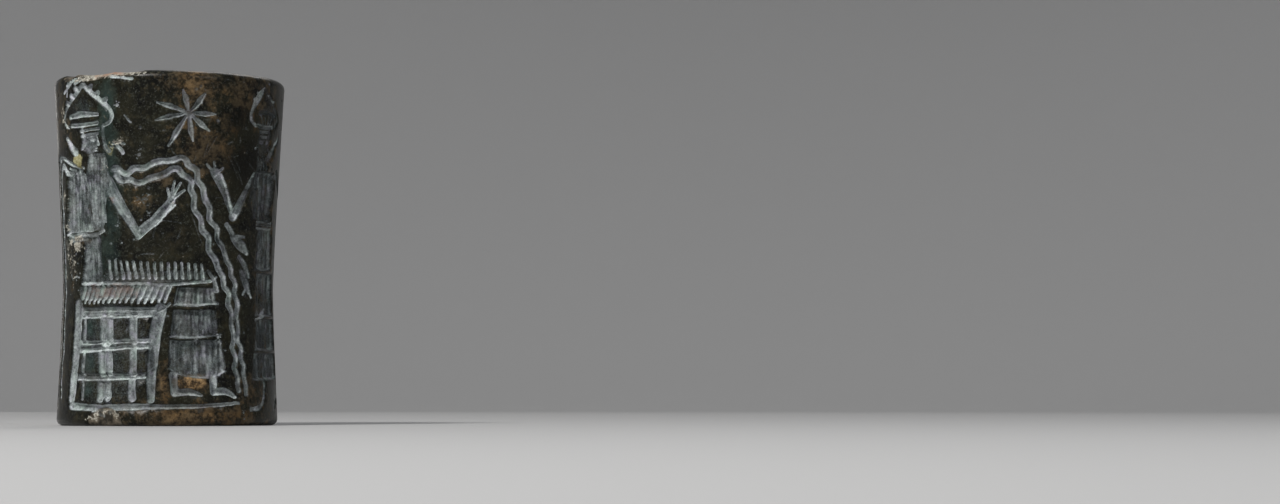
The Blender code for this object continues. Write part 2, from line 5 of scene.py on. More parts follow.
import bmesh
import bpy
import numpy as np
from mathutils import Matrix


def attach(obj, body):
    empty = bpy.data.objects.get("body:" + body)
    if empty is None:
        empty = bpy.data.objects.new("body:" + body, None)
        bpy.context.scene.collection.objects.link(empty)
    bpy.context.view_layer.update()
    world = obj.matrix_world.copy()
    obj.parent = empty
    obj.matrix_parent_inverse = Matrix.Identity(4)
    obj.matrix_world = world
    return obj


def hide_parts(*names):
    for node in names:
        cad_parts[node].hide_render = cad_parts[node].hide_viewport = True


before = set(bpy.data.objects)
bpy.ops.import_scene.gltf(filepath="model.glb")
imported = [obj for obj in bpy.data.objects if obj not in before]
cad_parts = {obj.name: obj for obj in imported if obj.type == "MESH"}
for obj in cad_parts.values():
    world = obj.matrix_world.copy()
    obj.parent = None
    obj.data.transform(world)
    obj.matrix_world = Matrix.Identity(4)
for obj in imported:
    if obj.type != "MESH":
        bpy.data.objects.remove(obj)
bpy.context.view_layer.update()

# ------------------------------------------------------- sizes (mm), as in CAD
HEIGHT = 38.0
TOP_R = 12.66
WAIST_R = 11.48
FOOT_R = 12.06
WAIST_H = 14.9
TOP_ROUND = 0.9
FOOT_ROUND = 0.7
BORE_R = 3.0
MOUTH_R = 3.3
MOUTH_DEEP = 1.2
UNROLL_R = 11.5
ROUND_MM = 2 * math.pi * UNROLL_R

GRID = 0.05
STEPS = 880
ROWS = 470
KEEP_TRIANGLES = 190000

CUT = 0.34
BODY = 0.70
DEEPER = 1.3            # all cuts against the figures' own numbers
HAT_TOP = 36.7
BRIM = 32.3
SHOULDER = 27.2
BELT = 22.2
HEM = 5.2


def side_radius(h):
    up = np.clip((h - WAIST_H) / (HEIGHT - WAIST_H), 0, 1) ** 1.25
    down = np.clip((WAIST_H - h) / WAIST_H, 0, 1) ** 1.25
    return WAIST_R + (TOP_R - WAIST_R) * up + (FOOT_R - WAIST_R) * down


def noise(s, h, cell, seed, octaves=1):
    """Smooth random values, -1 to 1, that join up all round the seal."""
    total, weight = np.zeros(np.broadcast(s, h).shape), 0.0
    for o in range(octaves):
        size = cell / 2 ** o
        n = max(4, int(round(ROUND_MM / size)))
        m = int(math.ceil((HEIGHT + 4) / size)) + 3
        lattice = np.random.RandomState(seed + 31 * o).uniform(-1, 1, (m, n))
        x = (s / ROUND_MM * n) % n
        y = (h + 2) / size
        i, j = np.floor(x).astype(int), np.clip(np.floor(y).astype(int), 0, m - 2)
        fx, fy = x - np.floor(x), y - np.floor(y)
        fx, fy = fx * fx * (3 - 2 * fx), fy * fy * (3 - 2 * fy)
        i0, i1 = i % n, (i + 1) % n
        value = ((lattice[j, i0] * (1 - fx) + lattice[j, i1] * fx) * (1 - fy)
                 + (lattice[j + 1, i0] * (1 - fx) + lattice[j + 1, i1] * fx) * fy)
        total += value / 2 ** o
        weight += 1 / 2 ** o
    return total / weight


def curve(points, per=5):
    """A smooth path through a few points."""
    if len(points) < 3:
        return points
    p = [points[0], *points, points[-1]]
    path = []
    for k in range(1, len(p) - 2):
        a, b, c, d = p[k - 1:k + 3]
        for q in range(per):
            t = q / per
            path.append(tuple(0.5 * (2 * b[i] + (c[i] - a[i]) * t
                                     + (2 * a[i] - 5 * b[i] + 4 * c[i] - d[i]) * t * t
                                     + (3 * b[i] - a[i] - 3 * c[i] + d[i]) * t ** 3)
                              for i in (0, 1)))
    return path + [points[-1]]


# ------------------------------------------------------------ cutting tools
class Relief:
    """Depth below the turned face, drawn on the unrolled (s, h) sheet, with the tone of the cut surface: 0
    polished stone, 1 palest powdery cut; finish() adds a painted highlight on the cut walls."""

    def __init__(self, grid):
        self.n = int(round(ROUND_MM / grid))
        self.m = int(round(HEIGHT / grid)) + 1
        self.ds = ROUND_MM / self.n
        self.dh = HEIGHT / (self.m - 1)
        self.body = np.zeros((self.m, self.n))
        self.cuts = np.zeros((self.m, self.n))
        self.tone = np.zeros((self.m, self.n))

    def window(self, s0, s1, h0, h1):
        i0, i1 = int(math.floor(s0 / self.ds)) - 2, int(math.ceil(s1 / self.ds)) + 2
        j0 = max(0, int(h0 / self.dh) - 2)
        j1 = min(self.m - 1, int(h1 / self.dh) + 2)
        i = np.arange(i0, i1 + 1)
        j = np.arange(j0, j1 + 1)
        return i % self.n, j, (i * self.ds)[None, :], (j * self.dh)[:, None]

    def lay(self, layer, i, j, depth):
        at = np.ix_(j, i)
        layer[at] = np.maximum(layer[at], depth)

    def stroke(self, points, width, depth=CUT, tone=0.8, body=False, sharp=0.5, smooth=True,
               swell=0.0):
        """A groove along points; width, depth and tone run from start to end,
        and swell makes the middle of the stroke fatter than its ends."""
        layer = self.body if body else self.cuts
        w0, w1 = width if isinstance(width, tuple) else (width, width)
        d0, d1 = depth if isinstance(depth, tuple) else (depth, depth)
        t_0, t_1 = tone if isinstance(tone, tuple) else (tone, tone)
        points = curve(points) if smooth else points
        spans = [max(1e-6, math.dist(a, b)) for a, b in zip(points, points[1:])]
        total, run = sum(spans), 0.0
        for (a, b), span in zip(zip(points, points[1:]), spans):
            u0, u1 = run / total, (run + span) / total
            run += span
            half = max(w0, w1) / 2 * (1 + swell)
            i, j, s, h = self.window(min(a[0], b[0]) - half, max(a[0], b[0]) + half,
                                     min(a[1], b[1]) - half, max(a[1], b[1]) + half)
            if len(j) < 1:
                continue
            ux, uy = b[0] - a[0], b[1] - a[1]
            t = np.clip(((s - a[0]) * ux + (h - a[1]) * uy) / (span * span), 0, 1)
            away = np.hypot(s - a[0] - t * ux, h - a[1] - t * uy)
            along = u0 + (u1 - u0) * t
            r = (w0 + (w1 - w0) * along) / 2 * (1 + swell * np.sin(math.pi * along))
            q = np.clip(1 - (away / r) ** 2, 0, 1)
            self.lay(layer, i, j, (d0 + (d1 - d0) * along) * q ** sharp)
            self.lay(self.tone, i, j, (t_0 + (t_1 - t_0) * along) * np.clip(q * 3, 0, 1))

    def panel(self, rows, depth, flutes=0, flute=0.12, edge=4.0, tone=0.6, lean=0.0, soft=0.2,
              wave=0.0):
        """A modelled hollow between a left and a right edge, given as rows of
        (height, left, right), with upright or leaning flutes cut in it."""
        rows = sorted(rows)
        hs = [r[0] for r in rows]
        lo = min(r[1] for r in rows) - abs(lean)
        hi = max(r[2] for r in rows) + abs(lean)
        i, j, s, h = self.window(lo, hi, hs[0], hs[-1])
        middle = (hs[0] + hs[-1]) / 2
        s = s - lean * (h - middle) / (hs[-1] - hs[0])
        left = np.interp(h, hs, [r[1] for r in rows])
        right = np.interp(h, hs, [r[2] for r in rows])
        u = (2 * s - left - right) / (right - left)
        ends = np.clip(np.minimum(h - hs[0], hs[-1] - h) / soft, 0, 1) ** 0.7
        inside = (np.abs(u) <= 1) * ends
        belly = np.clip(1 - np.abs(u) ** edge, 0, 1) ** 0.5
        self.lay(self.body, i, j, depth * belly * inside)
        light = np.full(u.shape, tone)
        if flutes:
            shift = wave * np.sin(h * 1.7 + u * 3) + 0.16 * noise(s * 1.7, h * 0.35, 0.8, 61, 2)
            ripple = np.abs(np.sin(math.pi * (flutes * (u + 1) / 2 + shift)))
            self.lay(self.cuts, i, j, flute * ripple ** 0.7 * inside * (belly > 0.2))
            streak = noise(s * 4, h * 0.3, 0.9, 62, 2)
            light = tone * (0.84 + 0.2 * ripple ** 1.5 + 0.42 * streak)
        self.lay(self.tone, i, j, light * inside * np.clip(belly * 2, 0, 1))

    def oval(self, s0, h0, wide, tall, depth, tone=0.6, body=True, turn=0.0):
        r = max(wide, tall) / 2
        i, j, s, h = self.window(s0 - r, s0 + r, h0 - r, h0 + r)
        c, d = math.cos(math.radians(turn)), math.sin(math.radians(turn))
        x, y = (s - s0) * c + (h - h0) * d, (h - h0) * c - (s - s0) * d
        q = np.clip(1 - (x / (wide / 2)) ** 2 - (y / (tall / 2)) ** 2, 0, 1)
        self.lay(self.body if body else self.cuts, i, j, depth * q ** 0.5)
        self.lay(self.tone, i, j, tone * np.clip(q * 3, 0, 1))

    def finish(self):
        """Pales the walls and worn lips of the cuts against their floors: worn powdery lips, and a painted
        highlight on the steep walls.
        """
        self.body *= DEEPER
        self.cuts *= DEEPER
        deep = self.body + self.cuts
        up, across = np.gradient(deep, self.dh, self.ds)
        # painted highlight: the steeper the wall of a cut, the paler its colour, whatever way the light
        # falls
        wall = np.clip(np.hypot(up, across) / 1.7, 0, 1)
        self.tone = self.tone * (0.72 + 0.62 * wall)

    def read(self, sheet, s, h):
        x = (s / self.ds) % self.n
        y = np.clip(h / self.dh, 0, self.m - 1.001)
        i, j = np.floor(x).astype(int), np.floor(y).astype(int)
        fx, fy = x - i, y - j
        i0, i1 = i % self.n, (i + 1) % self.n
        return ((sheet[j, i0] * (1 - fx) + sheet[j, i1] * fx) * (1 - fy)
                + (sheet[j + 1, i0] * (1 - fx) + sheet[j + 1, i1] * fx) * fy)


# ------------------------------------------------------------------ figures
# half of the horned hat's outline, as shares of its half width and height
HORN = [(0.03, 1.0), (0.25, 0.84), (0.58, 0.63), (0.90, 0.40), (1.0, 0.20), (0.90, 0.04),
        (0.70, -0.02)]


def horned_hat(cut, s, wide, top=HAT_TOP, brim=BRIM, tone=0.85, bumps=True,
               bands=(1.0, 1.0)):
    """Tall cap between two great horns, with the tips of more pairs beside."""
    tall = top - brim
    half = wide / 2
    for side in (-1, 1):
        line = [(s + side * x * half, brim + y * tall) for x, y in HORN]
        cut.stroke(line, (0.62, 0.38), (0.34, 0.26), (tone, tone * 0.95), swell=0.15)
        if bumps:
            for x, y in ((0.27, 0.93), (0.50, 0.75), (0.76, 0.59)):
                a = (s + side * x * half * 0.98, brim + y * tall - 0.1)
                b = (s + side * (x * half + 0.22), brim + y * tall + 0.12)
                cut.stroke([a, b], (0.85, 0.62), (0.4, 0.3), tone * 0.95, smooth=False)
    cut.stroke([(s - half * 0.55 * bands[0], brim + tall * 0.24), (s, brim + tall * 0.28),
                (s + half * 0.6 * bands[1], brim + tall * 0.25)], (0.54, 0.42), 0.3, tone, swell=0.5)
    cut.stroke([(s - half * 0.5 * bands[0], brim + 0.1), (s, brim + 0.1), (s + half * 0.5, brim + 0.2)],
               (0.52, 0.48), 0.28, tone * 1.05)


def head(cut, s, face, h=30.4, wide=2.1, tall=2.9, tone=0.8, bun=True, hair=1.0):
    """A plain head of the seal cutter's usual kind, in profile: two brow
    bands, a straight nose, calm lips, an almond eye and hair rolled behind."""
    cut.oval(s, h, wide, tall, 0.42, tone * 0.55)
    front = s + face * wide * 0.46
    back = s - face * wide * 0.5
    for dh, k in ((1.42, hair), (0.88, 0.9 * hair)):
        cut.stroke([(s - 0.85 * k, h + dh), (s + 0.1, h + dh + 0.05), (s + 0.85 * k, h + dh + 0.1)],
                   0.36, 0.22, tone)
    cut.stroke([(front - face * 0.1, h + 0.75), (front + face * 0.22, h - 0.12)], (0.3, 0.42),
               0.24, tone)
    cut.stroke([(front - face * 0.15, h - 0.12), (front + face * 0.22, h - 0.14)], 0.3, 0.2, tone)
    for dh in (0.5, 0.78):
        cut.stroke([(front - face * 0.45, h - dh), (front + face * 0.05, h - dh)], 0.2, 0.16,
                   tone * 0.8)
    cut.stroke([(s - 0.25, h + 0.38), (s + 0.1, h + 0.5), (s + 0.4, h + 0.38)], 0.2, 0.14,
               tone * 0.9)
    cut.stroke([(s - 0.25, h + 0.36), (s + 0.08, h + 0.26), (s + 0.4, h + 0.36)], 0.16, 0.12,
               tone * 0.9)
    cut.stroke([(back, h + 1.6), (back + face * 0.1, h + 0.4), (back - face * 0.05, h - 0.5)],
               (0.45, 0.35), 0.28, tone * 0.75)
    if bun:
        cut.stroke([(back - face * 1.5, h + 0.55), (back - face * 1.0, h - 0.35),
                    (back - face * 0.2, h - 1.2)], (0.6, 1.05), (0.3, 0.4), (tone, tone * 1.1))


def beard(cut, s, top, tip, wide=1.7, locks=4, tone=0.7, lean=0.0):
    for k in range(locks):
        x = s + wide * (k / (locks - 1) - 0.5)
        end = tip + 0.9 * abs(k / (locks - 1) - 0.5)
        path = [(x + lean * t + 0.07 * math.sin(9 * t + k), top + (end - top) * t)
                for t in (0, 0.25, 0.5, 0.75, 1)]
        cut.stroke(path, (0.5, 0.34), (0.26, 0.2), (tone * 0.75, tone * 0.9))


def arm(cut, joints, thick=(1.15, 0.75), deep=0.42, tone=0.62):
    """Upper arm and forearm, with a fine line down each."""
    cut.stroke(joints, thick, deep, tone, body=True, smooth=False)
    cut.stroke(joints, (thick[0] * 0.35, thick[1] * 0.35), 0.1, tone * 1.15, smooth=False)


def hand(cut, wrist, tips, tone=0.75):
    for tip in tips:
        cut.stroke([wrist, tip], (0.46, 0.24), (0.3, 0.16), tone, smooth=False)


def foot(cut, ankle, heel, toe, thick=0.85, tone=0.82):
    cut.stroke([ankle, heel], (thick, thick * 0.95), 0.42, tone * 0.9, body=True, smooth=False)
    cut.stroke([heel, ((heel[0] + toe[0]) / 2, heel[1] + 0.12), toe], (thick * 0.9, 0.4),
               (0.42, 0.3), tone, body=True, swell=0.35)


def torso(cut, s, wide=4.4, waist=3.2, top=SHOULDER, low=BELT, tone=0.5):
    cut.panel([(top + 0.5, s - wide * 0.3, s + wide * 0.3), (top, s - wide / 2, s + wide / 2),
               (low + 1.6, s - waist / 2, s + waist / 2), (low, s - waist / 2, s + waist / 2)],
              BODY, 5, 0.07, 2.0, tone)
    for dh in (0.1, 0.42, 0.8):
        cut.stroke([(s - waist / 2 - 0.15, low - dh), (s + waist / 2 + 0.15, low - dh)], 0.26,
                   0.2, tone * 1.5)


def skirt(cut, waist, hem, top=BELT - 0.7, low=HEM, flutes=8, tone=0.6):
    third = top - (top - low) * 0.62
    mid = [w + (f - w) * 0.25 for w, f in zip(waist, hem)]
    cut.panel([(top, *waist), (third, *mid), (low, *hem)], 0.42, flutes, 0.2, 5.0, tone, wave=0.1)
    cut.stroke([(hem[0], low + 0.1), ((hem[0] + hem[1]) / 2, low - 0.05), (hem[1], low + 0.15)],
               0.36, 0.16, tone * 1.4)


def tiers(cut, rows, flutes=9, tone=0.52, hem=1.45):
    """Flounced robe: each (top, low, left, right) is one flounce."""
    for top, low, left, right in rows:
        cut.panel([(top, left + 0.15, right - 0.15), (low, left - 0.15, right + 0.15)],
                  0.34, flutes, 0.1, 6.0, tone, wave=0.12)
        cut.stroke([(left - 0.15, low + 0.02), ((left + right) / 2, low), (right + 0.3, low + 0.3)],
                   (0.28, 0.34), (0.08, 0.13), (tone * hem * 0.75, tone * hem))


def star(cut, s, h, rays, tone=0.82):
    """Rays given as (lean in degrees, reach), thin at both ends."""
    for lean, reach in rays:
        a = math.radians(lean)
        start = (s + 0.16 * reach * math.cos(a), h + 0.16 * reach * math.sin(a))
        mid = (s + 0.62 * reach * math.cos(a), h + 0.62 * reach * math.sin(a))
        tip = (s + reach * math.cos(a + 0.03), h + reach * math.sin(a + 0.03))
        cut.stroke([(s, h), start, mid], (0.24, 0.68), (0.12, 0.3), (tone * 0.45, tone))
        cut.stroke([mid, tip], (0.68, 0.22), (0.3, 0.12), (tone, tone * 0.95))


def stream(cut, points, wave=0.16, length=2.2, start=0.0, tone=0.75):
    """Falling water: one wavy groove along a few points, cut a little
    deeper along one side."""
    path, run = [], start
    base = curve(points, 6)
    for a, b in zip(base, base[1:]):
        span = math.dist(a, b) + 1e-6
        nx, ny = (a[1] - b[1]) / span, (b[0] - a[0]) / span
        off = wave * (0.75 + 0.35 * math.sin(0.9 * run)) * math.sin(
            2 * math.pi * run / length + 0.7 * math.sin(0.6 * run))
        path.append((a[0] + nx * off, a[1] + ny * off))
        run += span
    path.append(points[-1])
    cut.stroke(path, (0.74, 0.64), 0.28, tone, smooth=False)
    cut.stroke([(x - 0.17, h - 0.06) for x, h in path], 0.2, 0.1, tone * 1.35, smooth=False)


def enthroned(cut):
    """The seated figure, its throne and the two pairs of streams."""
    horned_hat(cut, -9.75, 7.4, 36.6, 32.2, 1.05, bands=(1.15, 0.87))
    head(cut, -8.95, 1, 30.25, 2.2, 2.5, 0.85, bun=False, hair=1.5)
    cut.stroke([(-13.0, 31.0), (-12.1, 30.1), (-11.2, 29.4)], (0.55, 1.1), (0.3, 0.4), (0.85, 1.1))
    cut.panel([(29.0, -9.1, -6.9), (26.9, -9.7, -6.45), (24.3, -9.6, -6.85), (20.9, -9.3, -7.3)], 0.2, 6,
              0.08, 4.0, 0.55)
    beard(cut, -8.0, 29.0, 21.4, 1.8, 5, 0.66)
    for x, top, low in ((-9.3, 28.0, 24.5), (-6.8, 27.4, 25.8), (-7.4, 24.0, 21.2)):
        cut.stroke([(x, top), (x + 0.1, (top + low) / 2), (x - 0.05, low)], 0.3, 0.14, 0.5)
    # strand of hair and curls before the face
    cut.stroke([(-7.2, 32.0), (-7.1, 31.0), (-6.9, 30.1)], 0.4, 0.16, 0.45)
    cut.stroke([(-6.9, 30.0), (-6.7, 29.7), (-6.4, 29.4)], 0.55, 0.18, 0.6)
    cut.stroke([(-5.95, 30.15), (-5.3, 30.3), (-4.75, 30.1)], 0.3, 0.16, 0.8)
    cut.stroke([(-6.2, 29.85), (-5.7, 29.8), (-5.2, 29.75)], 0.26, 0.14, 0.45)
    cut.stroke([(-5.5, 29.95), (-5.15, 29.6), (-4.9, 29.15)], (0.4, 0.5), 0.18, 0.9)
    # shawl over the shoulder, pleated, and its hem
    cut.stroke([(-15.0, 29.1), (-14.1, 28.9), (-12.9, 28.5), (-11.2, 27.9)], (0.4, 0.5), 0.24, 0.95)
    cut.panel([(27.9, -12.3, -10.4), (26.9, -13.3, -9.6), (23.0, -14.0, -9.1),
               (20.7, -14.4, -8.7)], 0.42, 9, 0.16, 5.0, 0.55, wave=0.25)
    cut.panel([(22.6, -9.0, -7.3), (20.8, -9.0, -7.3)], 0.2, 3, 0.14, 5.0, 0.5, wave=0.25)
    cut.stroke([(-14.0, 20.7), (-12.4, 20.43), (-10.9, 20.5), (-8.5, 20.45), (-7.3, 20.85)], 0.4, 0.18,
               0.95)
    cut.stroke([(-13.3, 20.2), (-11.9, 20.0), (-10.4, 20.1)], 0.6, 0.16, 0.55)
    cut.stroke([(-11.1, 27.5), (-10.3, 27.75), (-9.9, 27.7)], 0.26, 0.12, 1.1)
    cut.panel([(20.4, -10.4, -7.7), (17.5, -10.4, -7.6), (15.2, -10.9, -7.5)], 0.38, 5, 0.14, 5.0,
              0.5, wave=0.2)
    for k in range(4):
        cut.stroke([(-13.4 + 0.9 * k, 27.9 - 0.1 * k), (-12.9 + 0.9 * k, 27.0 - 0.2 * k)], 0.26, 0.1, 1.0)
    # arm held out, hand raised
    arm(cut, [(-6.7, 26.0), (-5.2, 23.4), (-3.3, 20.4)], (1.6, 0.95), 0.4, 0.62)
    cut.stroke([(-3.3, 20.3), (-1.5, 21.9), (0.2, 23.9)], (0.95, 0.8), 0.36, 0.6, body=True)
    cut.stroke([(-3.35, 20.9), (-1.6, 22.4), (0.1, 24.3)], 0.24, 0.12, 0.9)
    cut.stroke([(-3.1, 20.1), (-1.2, 21.6), (0.6, 23.6)], 0.24, 0.14, 1.0)
    hand(cut, (0.1, 24.0), [(-0.2, 25.3), (0.55, 26.1), (1.15, 25.9), (1.6, 25.1)], 0.85)
    # lap: fringes over the front edge of the seat
    for k in range(15):
        x = -6.6 + 0.73 * k
        cut.stroke([(x - 0.1, 17.6 - 0.03 * k), (x + 0.12, 15.8)], (0.32, 0.4), 0.18, (0.9, 0.7))
    cut.panel([(16.6, -7.4, 4.0), (15.2, -7.6, 4.6)], 0.14, 0, 0, 8.0, 0.3)
    cut.stroke([(-10.6, 15.2), (-7.4, 15.25), (-2.2, 15.1), (0.4, 15.05), (4.6, 15.5)],
               (0.42, 0.36), 0.18, 0.85)
    for k in range(16):
        x = -10.9 + 0.70 * k
        cut.stroke([(x, 13.2), (x + 0.62, 14.85)], (0.34, 0.46), 0.18, (1.0, 0.75))
    cut.panel([(15.0, -11.2, 0.0), (13.4, -11.3, -0.2)], 0.16, 0, 0, 8.0, 0.5)
    # knee and flounced robe
    cut.stroke([(4.3, 16.6), (5.0, 15.6), (5.3, 14.5)], (0.35, 0.6), 0.24, 0.7)
    tiers(cut, [(14.8, 12.85, 0.7, 5.2)], 10, 0.58, 1.15)
    tiers(cut, [(12.45, 9.45, 0.3, 5.4)], 10, 0.46, 1.2)
    cut.panel([(9.2, 0.05, 5.9), (6.3, -0.1, 6.3), (5.7, 0.5, 6.1), (5.15, 1.9, 5.5)], 0.34, 10, 0.1,
              6.0, 0.56, wave=0.12)
    cut.stroke([(0.1, 6.1), (1.6, 5.5), (3.05, 5.2), (4.8, 5.2), (6.3, 5.8)], 0.24, 0.05, 0.56)
    foot(cut, (0.55, 5.4), (0.7, 3.5), (3.45, 3.25), 0.92)
    foot(cut, (4.85, 5.3), (4.95, 3.6), (7.5, 3.05), 0.92)
    # throne: posts, rails and bars, and powder left in the lattice
    cut.oval(-6.6, 7.6, 10.5, 12.5, 0.0, 0.23)
    cut.oval(-9.75, 34.2, 3.6, 2.6, 0.0, 0.23)
    cut.stroke([(-11.35, 12.9), (-11.4, 10.5), (-11.6, 7.0), (-11.95, 3.0)], (1.6, 1.4), 0.26,
               (0.7, 1.0), body=True)
    cut.stroke([(-10.95, 12.6), (-11.0, 8.0), (-11.5, 3.2)], 0.3, 0.12, 0.85)
    cut.stroke([(-0.85, 12.4), (-1.4, 9.5), (-1.65, 6.1), (-1.8, 2.8)], (1.5, 0.95), 0.45, 0.62,
               body=True)
    cut.stroke([(-1.2, 12.2), (-0.4, 12.5), (0.2, 13.0)], 0.3, 0.16, 0.7)
    cut.panel([(12.75, -11.4, -1.0), (11.7, -11.4, -1.0)], 0.3, 0, 0, 12.0, 0.62)
    for x, deep, tone in ((11.62, 0.18, 0.95), (12.35, 0.1, 0.72)):
        cut.stroke([(-10.9, x), (-6, x), (-1.4, x + 0.05)], 0.26, deep, tone)
    cut.panel([(9.2, -10.8, -2.2), (8.0, -10.9, -2.2)], 0.14, 0, 0, 12.0, 0.42)
    for x, rise, tone in ((8.95, 0.15, 0.85), (8.15, 0.3, 1.05)):
        cut.stroke([(-10.8, x - rise * 0.5), (-7, x + 0.05), (-2.1, x + rise)], 0.46, 0.22, tone)
    cut.oval(-7.0, 8.7, 1.1, 0.6, 0.2, 1.3, False)
    cut.panel([(5.65, -11.0, -2.3), (4.85, -11.1, -2.3)], 0.3, 0, 0, 12.0, 0.6)
    cut.stroke([(-10.9, 4.9), (-6, 4.95), (-2.3, 5.1)], 0.2, 0.12, 0.95)
    for top, low in ((11.6, 9.0), (8.0, 5.6), (4.8, 2.9)):
        cut.stroke([(-10.0, top), (-10.05, low)], 0.5, 0.22, 0.6)
        cut.panel([(top, -7.8, -6.1), (low, -7.8, -6.0)], 0.22, 0, 0, 8.0, 0.56)
        cut.stroke([(-7.45, top), (-7.4, low)], 0.8, 0.26, 0.72)
        cut.stroke([(-6.5, top), (-6.5, low)], 0.66, 0.26, 0.8)
        cut.stroke([(-3.75, top), (-3.7, low)], 0.85, 0.32, 0.74)
    cut.stroke([(-12.0, 2.1), (-7.0, 1.9), (-2.0, 2.0), (3.0, 2.05), (8.0, 2.4)], (0.88, 0.34),
               (0.34, 0.14), (0.85, 0.8))
    cut.stroke([(-11.4, 2.35), (-7.0, 2.2), (-2.0, 2.25)], 0.2, 0.1, 1.1)
    star(cut, 1.95, 33.35, [(105, 2.6), (51, 2.65), (-2, 2.75), (-43, 2.8), (-84, 3.0), (-122, 4.1),
                            (-168, 3.5), (160, 3.45)])
    # streams from the near shoulder and, behind, from the far one
    stream(cut, [(-6.0, 27.4), (-4.4, 27.1), (-2.4, 27.7), (0.2, 28.4), (1.8, 28.2), (3.0, 26.4),
                 (3.9, 24.1), (4.7, 21.8), (5.8, 19.2), (7.3, 16.1), (7.9, 13.0), (8.0, 10.0),
                 (8.5, 7.0), (9.0, 3.4)], 0.21)
    stream(cut, [(-5.7, 26.7), (-3.8, 26.0), (-1.8, 26.4), (0.2, 27.25), (1.5, 26.9), (2.4, 25.2),
                 (2.7, 23.2), (3.7, 21.1), (4.4, 18.9), (6.0, 15.9), (7.0, 13.0), (7.3, 9.8),
                 (7.5, 6.8), (8.0, 3.8)], 0.21, start=0.8)
    stream(cut, [(-12.9, 27.2), (-14.4, 28.0), (-15.2, 27.2), (-15.3, 24.0), (-15.2, 20.0),
                 (-15.0, 15.9), (-15.1, 11.4), (-14.9, 8.5), (-15.3, 5.5), (-14.9, 3.2)], tone=1.2)
    stream(cut, [(-15.0, 28.9), (-16.5, 27.9), (-16.8, 23.5), (-16.6, 19.0), (-16.5, 15.9),
                 (-16.8, 11.4), (-16.6, 6.3), (-16.6, 2.4)], start=1.0, tone=0.95)


